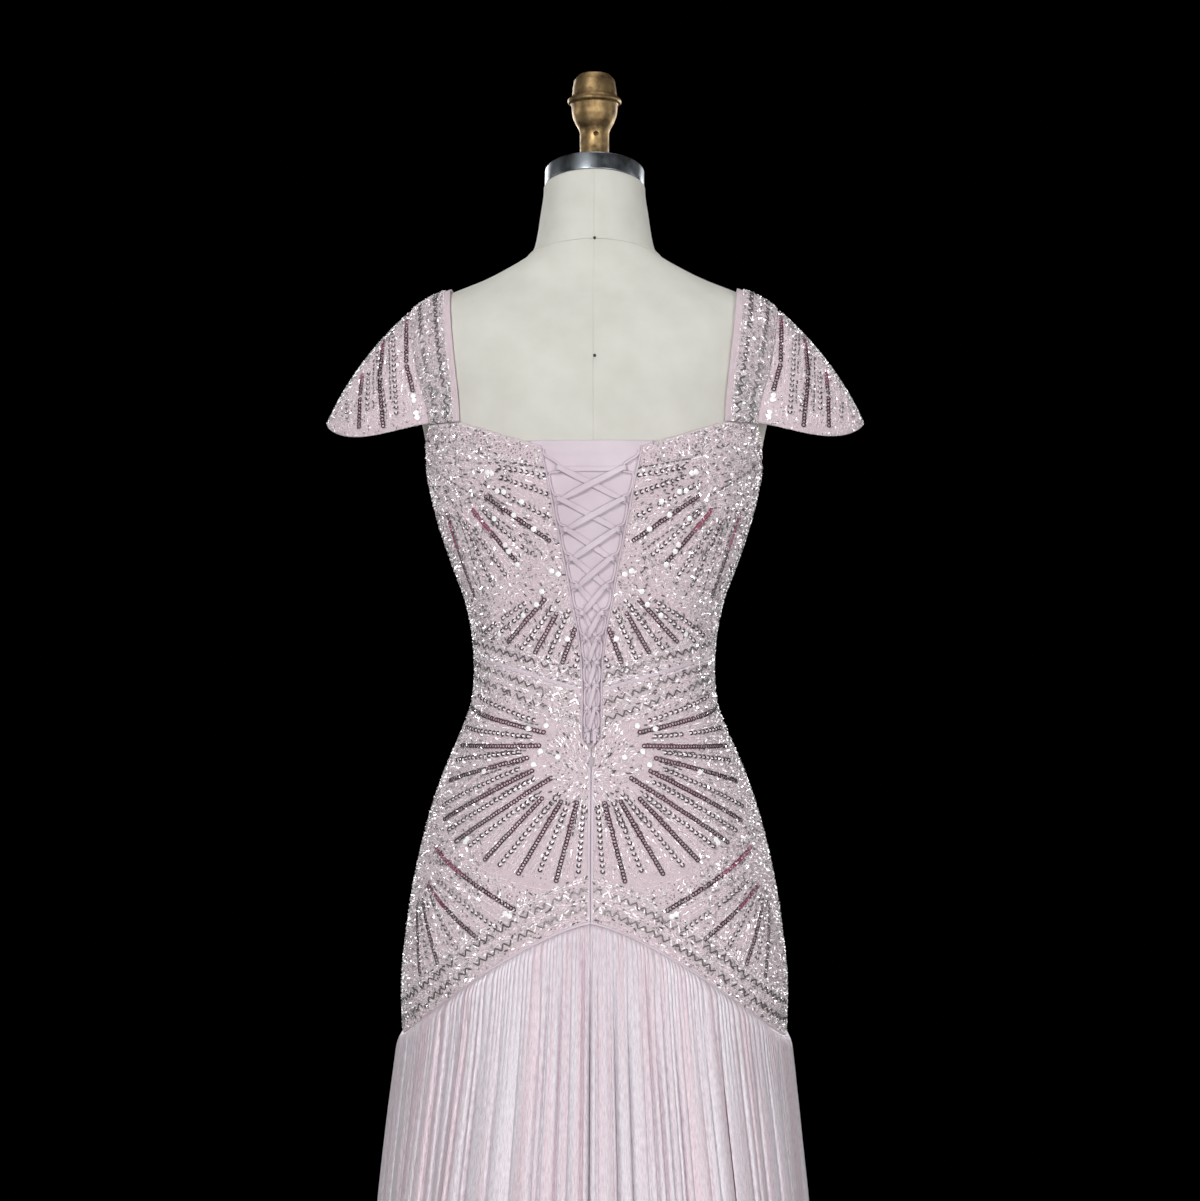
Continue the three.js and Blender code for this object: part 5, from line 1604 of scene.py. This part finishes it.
def sew_sleeve(seed, grid, length, depth):
    """Beadwork of a sleeve: rays from the strap to the hem, back and front alike."""
    surface = Surface(grid)
    work = ThreadWork(seed, lambda path: surface.at(path[:, 0] / length, path[:, 1] / depth))
    rows, columns = grid.shape[:2]
    fine = 8
    u, v = np.meshgrid(np.linspace(0, 0.5, rows * fine // 2), np.linspace(0, 1, columns * fine), indexing="ij")
    u, v = u.ravel(), v.ravel()
    seen = surface.at(u, v)

    def place(x, z):
        nearest = np.argmin((seen[:, 0] - x) ** 2 + (seen[:, 2] - z) ** 2)
        return u[nearest] * length, v[nearest] * depth

    def line(x0, z0, x1, z1):
        path = np.array([place(mix(x0, x1, t), mix(z0, z1, t)) for t in np.linspace(0, 1, 13)])
        return path, np.stack([length - path[:, 0], path[:, 1]], -1)

    def spread(s, z):
        """Cloth under each bead's share of the flat layout, against one at true size."""
        here, reach = surface.at(s / length, z / depth), 0.5
        beside = surface.at((s + reach) / length, z / depth) - here
        below = surface.at(s / length, (z + reach) / depth) - here
        return np.linalg.norm(np.cross(beside, below), axis=1) / reach ** 2

    for kind, *ends in SLEEVE_RAYS:
        for path in line(*ends):
            sew_ray(work, kind, path)
    for k in range(SLEEVE_LINES["count"]):
        top = SLEEVE_LINES["first"] + SLEEVE_LINES["pitch"] * k
        high = SLEEVE_LINES["top"] - 0.022 * max(0, top - 170) ** 1.9
        for path in line(top, high, top + SLEEVE_LINES["lean"], SLEEVE_LINES["foot"]):
            work.along(("bugle", "pale_bugle", "tall_seed")[k % 3], path, 3.5, 0.3, 0.15, 0.15)
    ridge = np.stack([np.full(40, length / 2), np.linspace(1, depth - 1, 40)], -1)
    for shift in range(-16, 17, 2):
        kind = ("flash", "tall_seed", "flash", "smoke_seed")[shift // 2 % 4]
        work.along(kind, ridge + (shift, 0), 2.7, 0.4, 0.4, 0.1)
    box = (0, length, 0, depth)
    work.strew(box, 3.4, lambda s, z: work.random.random(len(s)) < spread(s, z), flat_angle(PI / 2),
               (("seed", 0.25), ("silver_seed", 0.25), ("tall_seed", 0.2), ("smoke_seed", 0.08)), 0.5)
    hem = np.stack([np.linspace(1, length - 1, 120), np.full(120, depth - 1.4)], -1)
    work.along("silver_seed", hem, 3.4, 0.2, 0.4)
    for shift in (-5, -1, 3):
        work.along("tall_seed", ridge + (shift, 0), 3.6, 0.6, 0.4)
    for x, z in SLEEVE_SPARKLES:
        s, down = place(x, z)
        work.add("sparkle", [(s, down), (length - s, down)], [(1, 0)])
    return work


def make_sleeves(sizes, finish):
    middle = sleeve_points(np.linspace(0, 1, 91), np.linspace(0, 1, 29))
    normals = grid_normals(middle)
    outer, inner = middle + normals * CLOTH / 2, middle - normals * CLOTH / 2
    length = np.linalg.norm(np.diff(middle[:, -1], axis=0), axis=1).sum()
    depth = np.linalg.norm(np.diff(middle[45], axis=0), axis=1).sum()
    pieces = []
    for k, (word, side) in enumerate(SIDES):
        a, b = outer * (side, 1, 1), inner * (side, 1, 1)
        cloth = cloth_wall(f"cloth_sleeve_{word}", a, b, finish["tulle"], f"sleeve_{word}")
        work = sew_sleeve(51 + k, outer, length, depth)
        find = Surface(a).finder((length, depth), side < 0)
        beads = sew(f"beads_sleeve_{word}", [(work, find)], sizes, finish)
        pieces.append((cloth, beads))
    return pieces


# The centre back: panel under the lacing, loops, lace and zip

def under_strip(heights, half_width, columns, out):
    half = angle_at_x(half_width, heights)
    angle = half[:, None] * np.linspace(-1, 1, columns)[None, :]
    return off_body(angle, np.repeat(heights[:, None], columns, 1), out)


def make_modesty_panel(finish):
    heights = np.linspace(MODESTY["bottom"], MODESTY["top"], 140)
    hem_line = MODESTY["top"] - 14
    hem = 0.25 * smooth_step(hem_line - 0.6, hem_line + 0.6, heights)
    stitch = -0.3 * np.exp(-((heights - hem_line) / 0.7) ** 2)
    creases = 0.16 * np.sin(heights / 3.1) * smooth_step(40, 5, MODESTY["top"] - heights)
    relief = (hem + stitch + creases)[:, None] * np.ones(41)[None, :]
    half = opening_half(heights) + MODESTY["under"]
    low = MODESTY["gap"]
    outer = under_strip(heights, half, 41, low + MODESTY["thickness"] + relief)
    inner = under_strip(heights, half, 41, np.full(relief.shape, low))
    return cloth_wall("modesty_satin", outer, inner, finish["satin"], "modesty_panel")


def make_zip(finish):
    heights = np.linspace(HIP_SEAM[0] + 2, MODESTY["bottom"] - 0.4, 60)
    half = np.full(len(heights), ZIP_TAPE["half"])
    outer, inner = (under_strip(heights, half, 13, ZIP_TAPE[level] * np.ones((60, 13)))
                    for level in ("outside", "inside"))
    tape = cloth_wall("zip_tape_strip", outer, inner, finish["tape"], "zip_tape")
    bodies = []
    run = np.linspace(HIP_SEAM[0] + 1.5, 990, 90)
    for x in (-1.62, 1.62):
        angle = np.sign(x) * angle_at_x(np.full(90, abs(x)), run)
        path = cloth_top(angle, run, 0.1)
        sides = np.repeat([[1.0, 0.0, 0.0]], 90, 0)
        bodies.append(sweep(path, sides, round_section(1.5, 10, 0.45)))
    solid_piece("zip_welts", bodies, finish["satin"])
    return tape


def make_slider(finish):
    """The zip's slider: a rounded plate with a low crown."""
    foot, length = 976.0, 9.0
    out = BODY_GAP + BACK_LIFT[0] + CLOTH + 0.4
    outline = [(1.6, 0), (2.6, 3), (2.6, 7.5), (1.4, length)]
    ring = np.array(outline + [(-half, up) for half, up in reversed(outline)])
    shares = np.array([[0.2], [0.5], [0.8]])
    ring = np.concatenate([mix(ring[k], ring[(k + 1) % 8], shares) for k in range(8)])
    middle = np.array([0, length / 2])
    layers = []
    for share, level in ((0.8, 0.0), (1.0, 0.35), (1.0, 1.2), (0.88, 1.7), (0.55, 1.8)):
        spread = middle + (ring - middle) * share
        base = off_body(np.zeros(1), np.array([foot]), [out + level])[0]
        lean = (on_body(0.0, foot + length)[1] - on_body(0.0, foot)[1]) / length
        layers.append(np.stack([
            spread[:, 0] + base[0], base[1] + lean * spread[:, 1], base[2] + spread[:, 1],
        ], -1))
    return solid_piece("zip_slider_plate", closed_rings(layers), finish["tape"], ["zip_slider"])


def back_points(x, z, level):
    x, z = np.asarray(x, float), np.asarray(z, float)
    return off_body(np.sign(x) * angle_at_x(np.abs(x), z), z, level)


def loop_places():
    places = []
    z = LOOPS["top"]
    for i in range(LOOPS["count"]):
        half = float(opening_half(z))
        is_top = i == 0
        reach = TOP_LOOP["reach"] if is_top else min(LOOPS["reach"], half * LOOPS["reach_share"])
        width = mix(LACE["bunched"], LACE["width"], float(smooth_step(8, 20, half)))
        spread = width * (TOP_LOOP["spread"] if is_top else LOOPS["spread"])
        places.append({"z": z, "apex": half - reach, "width": width, "spread": spread})
        z -= LOOPS["pitch"] - LOOPS["shrink"] * i
    return places


def make_loop_cords(finish):
    def edge_x(z):
        return float(opening_half(z)) - LOOPS["cord"] - 0.4

    start = MODESTY["top"] - 8
    rows = [(edge_x(start), start, LOOP_LEVEL["edge"])]
    for place in loop_places():
        z, apex, spread = place["z"], place["apex"], place["spread"]
        drop = TOP_LOOP["drop"] if z == LOOPS["top"] else 0
        high, low = z + LOOPS["foot"] + drop, z - LOOPS["foot"]
        rows.append((edge_x(high), high, LOOP_LEVEL["edge"]))
        rows.append((apex, z + spread, LOOP_LEVEL["apex"]))
        rows.append((apex, z - spread, LOOP_LEVEL["apex"]))
        rows.append((edge_x(low), low, LOOP_LEVEL["edge"]))
    rows = smooth_path(np.array(rows), 5)
    pieces = []
    for word, side in SIDES:
        path = back_points(rows[:, 0] * side, rows[:, 1], rows[:, 2])
        cord = sweep(path, unit(path * (1, 1, 0)), round_section(LOOPS["cord"], 8))
        pieces.append(solid_piece(f"rouleau_loops_{word}", cord, finish["satin"],
                                  [f"loop_cord_{word}"]))
    return pieces


def lace_path():
    """The lace's way through the loops: rows of x, height, level, side direction and width."""
    places = loop_places()
    lead, short, reach = LACE_TURN["lead"], LACE_TURN["short_reach"], LACE_TURN["reach"]
    middle = (LACE["low"] + LACE["high"]) / 2
    rows = []

    def add(x, z, level, side, width):
        rows.append((x, z, level, *side, width))

    def turn(place, sign, upwards):
        levels = [LACE["low"], LACE["low"], middle - short, middle + short, LACE["high"], LACE["high"]]
        shifts = [-lead, short, reach, reach, short, -lead]
        for i in range(6):
            k = 5 - i if upwards else i
            add(sign * (place["apex"] + shifts[k]), place["z"], levels[k], (0, 0, 1), place["width"])

    def span(start, end, sign, level):
        x0, x1 = sign * (start["apex"] - lead), -sign * (end["apex"] - lead)
        run = Vector((x1 - x0, end["z"] - start["z"])).normalized()
        side = (-run.y, 0, run.x) if run.x > 0 else (run.y, 0, -run.x)
        for t in ((0.25, 0.5, 0.75) if abs(x1 - x0) > 30 else (0.27, 0.73)):
            add(mix(x0, x1, t), mix(start["z"], end["z"], t), level, side, start["width"] * LACE_SPREAD)

    last = len(places) - 1

    def tail(sign, drops):
        for drop in drops:
            add(sign * LACE_TAIL["x"], places[last]["z"] - drop, LACE_TAIL["level"], (0.9, 0, sign * 0.4),
                LACE["bunched"])

    sign = -1
    tail(sign, LACE_TAIL["drops"][::-1])
    for i in range(last, 0, -1):
        turn(places[i], sign, True)
        span(places[i], places[i - 1], sign, LACE["under"] if i % 2 == 0 else LACE["over"])
        sign = -sign
    turn(places[0], sign, True)
    bar = places[0]["apex"] - 8
    for t in (1, 0, -1):
        add(sign * t * bar, places[0]["z"] - 1, LACE["low"], (0, 0, 1), LACE["width"])
    sign = -sign
    for i in range(last):
        turn(places[i], sign, False)
        span(places[i], places[i + 1], sign, LACE["over"] if (i + 1) % 2 == 0 else LACE["under"])
        sign = -sign
    turn(places[last], sign, False)
    tail(sign, LACE_TAIL["drops"])
    return np.array(rows)


def make_lace(finish):
    rows = smooth_path(lace_path(), 4)
    path = back_points(rows[:, 0], rows[:, 1], rows[:, 2])
    w, h = LACE["width"] / 2, LACE["thickness"] / 2
    section = [(-w, 0), (-w * 0.93, -h * 0.8), (-w * 0.5, -h * 0.6), (0, -h * 0.5), (w * 0.5, -h * 0.6),
               (w * 0.93, -h * 0.8), (w, 0), (w * 0.93, h * 0.85), (w * 0.5, h * 0.6), (0, h * 0.35),
               (-w * 0.5, h * 0.6), (-w * 0.93, h * 0.85)]
    lace = sweep(path, rows[:, 3:6], section, rows[:, 6] / LACE["width"])
    return solid_piece("satin_lace", lace, finish["satin"], ["lace"])


def make_bindings(finish):
    """Satin trim: rolled edges of the opening, piping at the hip seam and tape over the waist seam."""
    z = np.linspace(1002, 1266, 120)
    bodies = []
    for side in (1, -1):
        path = back_points(side * (opening_half(z) + 0.9), z, BODY_GAP + BACK_LIFT[0] + CLOTH + 0.35 + 0 * z)
        bodies.append(sweep(path, unit(path * (1, 1, 0)), round_section(1.25, 8, 0.7)))
    solid_piece("opening_binding", bodies, finish["satin"])
    angle = np.linspace(0, 2 * PI, 361)
    seam = off_body(angle, hip_seam(angle) + 1.2, stand_off(angle, hip_seam(angle)) + CLOTH + 0.2)
    piping = sweep(seam, unit(seam * (1, 1, 0)), round_section(1.3, 8))
    solid_piece("hip_piping", piping, finish["satin"])
    centre = float(WAIST_SEAM[0])
    first = angle_at_x(opening_half(centre) + 2.2, centre)
    angle = np.linspace(first, 2 * PI - first, 361)
    seam = off_body(angle, waist_seam(angle), stand_off(angle, waist_seam(angle)) + CLOTH + 0.1)
    upright = np.broadcast_to((0.0, 0.0, 1.0), seam.shape)
    corners = ((-1, 0), (-0.7, -1), (0.7, -1), (1, 0), (0.7, 1), (-0.7, 1))
    tape = sweep(seam, upright, [(x * 2.3, z * 0.35) for x, z in corners])
    solid_piece("waist_tape", tape, finish["satin"])


# The skirt

FOLDS = ((26, 7, 0.4), (17, 5, 1.9), (9, 4, 0.8))     # waves round the skirt, reach at the hem, phase
FOLD_FADE = 1.2
SKIRT_GAP = 1.5
CREASE_RADIUS = 195                  # the skirt's radius where its creases are laid out


def rounded_waves(turns, sharpness):
    """Waves with rounded tops and sharp valleys, between -1 and 1."""
    return 2 * np.abs(np.sin(PI * turns)) ** sharpness - 1


def make_creases():
    """Creases round the skirt: angle, depth and where it starts, and the lean of the cloth after it."""
    random = np.random.default_rng(61)
    widths = random.choice([6, 9, 13, 18, 25], 96, p=[0.2, 0.25, 0.25, 0.18, 0.12]).astype(float)
    angles = np.concatenate([[0], np.cumsum(widths)]) * 2 * PI / widths.sum()
    depths = random.uniform(1.2, 7.5, 97)
    starts = random.uniform(-20, 60, 97)
    leans = random.uniform(-1, 1, 97)
    for values in (depths, starts, leans):
        values[-1] = values[0]
    return angles, depths, starts, leans


CREASES = make_creases()


def crease_relief(angle, depth):
    """Height of the cloth between narrow creases: nearly flat in the middle, steep at the creases."""
    angles, depths, starts, leans = CREASES
    place = angle % (2 * PI)
    i = np.clip(np.searchsorted(angles, place, side="right") - 1, 0, len(angles) - 2)
    width = angles[i + 1] - angles[i]
    across = 2 * (place - angles[i]) / width - 1
    near = np.where(across < 0, i, i + 1)
    steep = np.maximum(2.2, 0.55 * width * CREASE_RADIUS)
    groove = depths[near] * np.abs(across) ** steep
    grown = smooth_step(starts[near][None, :], starts[near][None, :] + 75, depth)
    bulge = 0.07 * width * CREASE_RADIUS * (1 - across ** 2) + 0.9 * leans[i] * across
    return -groove[None, :] * grown + bulge[None, :] * smooth_step(10, 90, depth)


def skirt_points(angle, drop, gathers):
    """Points of the skirt's cloth at lengths below the seam."""
    top_z = hip_seam(angle) - HALF_SEAM
    out = stand_off(angle, top_z)
    top = off_body(angle, top_z, out + 0.9)
    z = top_z[None, :] - drop[:, None] * (top_z[None, :] - HEM_HEIGHT)
    depth = top_z[None, :] - z
    share = drop[:, None]
    radius = section_radius(SKIRT_CURVES, SKIRT_POWER, angle[None, :], z) + SKIRT_GAP
    fold = sum(reach * np.sin(waves * angle + phase) for waves, reach, phase in FOLDS)
    radius = radius + fold[None, :] * share ** FOLD_FADE
    warp = 0.011 * np.sin(23 * angle + 0.7) + 0.007 * np.sin(41 * angle + 2.1) + 0.012 * np.sin(11 * angle)
    fine = rounded_waves(gathers * (angle + warp) / (2 * PI), 0.75)
    opened = smooth_step(5, 110, depth)
    radius = radius + fine[None, :] * mix(0.75, 0.07, opened) + crease_relief(angle, depth)
    seam_radius = np.hypot(top[:, 0], top[:, 1])[None, :] + 0.5 * fine[None, :]
    rise = np.clip(depth / 15.0, 0, 1)
    radius = mix(seam_radius, radius, np.sqrt(1 - (1 - rise) ** 2))
    sway = 0.006 * np.sin(19 * angle + 0.5)[None, :] * share
    a = angle[None, :] + sway
    return np.stack([radius * np.sin(a), radius * np.cos(a), z + 0 * a], -1)


def make_skirt(sizes, finish):
    drops = np.concatenate([
        np.array([0, 1.2, 2.6, 4.4, 6.8, 10, 14, 19, 26]) / 800, np.linspace(0.05, 1, 20),
    ])
    pieces = []
    for gore in range(GORES):
        width = 2 * PI / GORES
        edge = HALF_SEAM / 200
        angle = np.linspace(gore * width + edge, (gore + 1) * width - edge, 24 * 8 + 1)
        grid = skirt_points(angle, drops, sizes.gathers)
        hem = grid[-1] - unit(grid[-1] * (1, 1, 0)) * 1.2
        turned = [hem, hem + (0, 0, 14)]
        grid = np.concatenate([grid, np.stack(turned)])
        points = grid.reshape(-1, 3)
        faces = grid_faces(*grid.shape[:2])
        middle = grid[len(grid) // 2, grid.shape[1] // 2]
        quad = faces[len(faces) // 2]
        normal = np.cross(points[quad[1]] - points[quad[0]], points[quad[2]] - points[quad[0]])
        if (normal * middle * (1, 1, 0)).sum() < 0:
            faces = faces[:, ::-1]
        across = np.broadcast_to(angle[None, :] * 190 * MM, grid.shape[:2])
        uv = np.stack([across, grid[..., 2] * MM], -1).reshape(-1, 2)
        mesh = make_mesh(f"skirt_cloth_{gore + 1}", points, [faces], uv)
        pieces.append(new_piece(f"skirt_cloth_{gore + 1}", mesh, [finish["lame"]],
                                [f"skirt_gore_{gore + 1}"]))
    return pieces


# Stage

LIGHTS = (      # name, place, height of its aim, diameter and power
    ("key", (0.9, 2.6, 2.3), 1.1, 0.8, 43.2), ("fill", (-1.5, 2.4, 1.3), 1.1, 1.2, 27.0),
    ("low_fill", (0.2, 2.6, 0.5), 0.8, 1.2, 19.8), ("top", (0, 0.2, 3.2), 1.1, 1.2, 9.9),
    ("side_left", (2.6, -0.2, 1.6), 1.1, 1.4, 9.0), ("side_right", (-2.6, -0.2, 1.6), 1.1, 1.4, 9.0),
    ("front_left", (1.4, -2.6, 1.9), 1.1, 1.8, 42), ("front_right", (-1.6, -2.4, 1.4), 1.1, 1.8, 34),
)
CAMERA = {"azimuth": 181.5, "distance": 2.0, "half_view": 0.576, "sensor": 36, "target": (-0.0053, 0.0, 1.129)}


def area_light(name, place, aim, size, power):
    data = bpy.data.lights.new(name, "AREA")
    data.shape = "DISK"
    data.size = size
    data.energy = power
    lamp = bpy.data.objects.new(name, data)
    lamp.location = place
    lamp.rotation_euler = (Vector((0, 0, aim)) - Vector(place)).to_track_quat("-Z", "Y").to_euler()
    bpy.context.scene.collection.objects.link(lamp)


def make_stage(sizes):
    """Pale floor, soft lights, dark room and the camera."""
    radius = sizes.floor_radius / MM
    points, faces = turned_body([(0, -20), (radius, -20), (radius, -1), (0, -1)], 128)
    floor_material, shader = plain_material("pale_floor", 0.8)
    add_tone(floor_material, shader, (0.62, 0.61, 0.60), (0.56, 0.55, 0.54), 8.0)
    floor = bpy.data.objects.new("floor", make_mesh("floor", points, faces))
    floor.data.materials.append(floor_material)
    bpy.context.scene.collection.objects.link(floor)
    world = bpy.data.worlds.new("dark_room")
    world.use_nodes = True
    world.node_tree.nodes["Background"].inputs["Color"].default_value = (0, 0, 0, 1)
    world.node_tree.nodes["Background"].inputs["Strength"].default_value = 0
    bpy.context.scene.world = world
    for light in LIGHTS:
        area_light(*light)
    camera_data = bpy.data.cameras.new("camera")
    camera = bpy.data.objects.new("camera", camera_data)
    bpy.context.scene.collection.objects.link(camera)
    azimuth = math.radians(CAMERA["azimuth"])
    distance = CAMERA["distance"]
    target = Vector(CAMERA["target"])
    camera.location = target + Vector((math.sin(azimuth), -math.cos(azimuth), 0)) * distance
    camera.rotation_euler = (target - camera.location).to_track_quat("-Z", "Y").to_euler()
    camera_data.sensor_width = CAMERA["sensor"]
    camera_data.sensor_fit = "AUTO"
    camera_data.lens = CAMERA["sensor"] / 2 / (CAMERA["half_view"] / distance)
    camera_data.clip_start, camera_data.clip_end = 0.05, 50
    bpy.context.scene.camera = camera
    bpy.context.scene.view_settings.view_transform = "Standard"


# Operators

def settings():
    scene = bpy.context.scene
    return scene.gown_sizes, finishes(scene.gown_colours)


class GOWN_OT_form(bpy.types.Operator):
    """Build the dress form: linen torso with its seams and pins, neck ring, finial, pole and base"""
    bl_idname = "gown.form"
    bl_label = "Dress form"

    def execute(self, context):
        _, finish = settings()
        make_linen_torso(finish)
        make_form_seams(finish)
        make_form_pins(finish)
        make_steel_ring(finish)
        make_gold_finial(finish)
        make_stand(finish)
        return {"FINISHED"}


class GOWN_OT_fitted_panels(bpy.types.Operator):
    """Build the bodice and the hip yoke with their beads"""
    bl_idname = "gown.fitted_panels"
    bl_label = "Bodice and yoke"

    def execute(self, context):
        sizes, finish = settings()
        beads = sew_fitted_panels(sizes, finish)
        cloths = make_panel_pair("bodice_back", bodice_low, bodice_high, 76, 46, finish)
        cloths += make_panel_pair("yoke_back", yoke_low, yoke_high, 90, 46, finish)
        cloths.append(make_panel_front("bodice_front", bodice_low, bodice_high, 66, 95, finish))
        cloths.append(make_panel_front("yoke_front", yoke_low, yoke_high, 72, 95, finish))
        return {"FINISHED"}


class GOWN_OT_shoulders(bpy.types.Operator):
    """Build the straps and the cap sleeves with their beads"""
    bl_idname = "gown.shoulders"
    bl_label = "Straps and sleeves"

    def execute(self, context):
        sizes, finish = settings()
        for cloth, beads in make_straps(sizes, finish) + make_sleeves(sizes, finish):
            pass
        return {"FINISHED"}


class GOWN_OT_lacing(bpy.types.Operator):
    """Build the panel under the lacing, the loops, the lace and the zip"""
    bl_idname = "gown.lacing"
    bl_label = "Lacing and zip"

    def execute(self, context):
        _, finish = settings()
        make_modesty_panel(finish)
        make_loop_cords(finish)
        make_lace(finish)
        make_zip(finish)
        make_slider(finish)
        make_bindings(finish)
        return {"FINISHED"}


class GOWN_OT_skirt(bpy.types.Operator):
    """Build the gathered skirt in its gores"""
    bl_idname = "gown.skirt"
    bl_label = "Skirt"

    def execute(self, context):
        sizes, finish = settings()
        for piece in make_skirt(sizes, finish):
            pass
        return {"FINISHED"}


class GOWN_OT_stage(bpy.types.Operator):
    """Set up the floor, the lights and the camera"""
    bl_idname = "gown.stage"
    bl_label = "Stage"

    def execute(self, context):
        sizes, _ = settings()
        make_stage(sizes)
        return {"FINISHED"}


class GOWN_PT_panel(bpy.types.Panel):
    """Lists the gown's pieces and settings"""
    bl_label = "Evening gown"
    bl_idname = "GOWN_PT_panel"
    bl_space_type = "VIEW_3D"
    bl_region_type = "UI"
    bl_category = "Gown"

    def draw(self, context):
        for name in ("form", "fitted_panels", "shoulders", "lacing", "skirt", "stage"):
            self.layout.operator(f"gown.{name}")
        for group in (context.scene.gown_sizes, context.scene.gown_colours):
            box = self.layout.box()
            for name in group.bl_rna.properties.keys():
                if name not in ("rna_type", "name"):
                    box.prop(group, name)


CLASSES = (
    GOWN_PG_cut, GOWN_PG_sizes, GOWN_OT_form, GOWN_OT_fitted_panels, GOWN_OT_shoulders, GOWN_OT_lacing,
    GOWN_OT_skirt, GOWN_OT_stage, GOWN_PT_panel,
)


def register():
    for cls in CLASSES:
        bpy.utils.register_class(cls)
    bpy.types.Scene.gown_colours = bpy.props.PointerProperty(type=GOWN_PG_cut)
    bpy.types.Scene.gown_sizes = bpy.props.PointerProperty(type=GOWN_PG_sizes)


def unregister():
    del bpy.types.Scene.gown_colours
    del bpy.types.Scene.gown_sizes
    for cls in reversed(CLASSES):
        bpy.utils.unregister_class(cls)


def main():
    register()
    bpy.ops.gown.stage()
    bpy.ops.gown.form()
    bpy.ops.gown.fitted_panels()
    bpy.ops.gown.shoulders()
    bpy.ops.gown.lacing()
    bpy.ops.gown.skirt()
    bpy.context.view_layer.update()


if __name__ == "__main__":
    main()
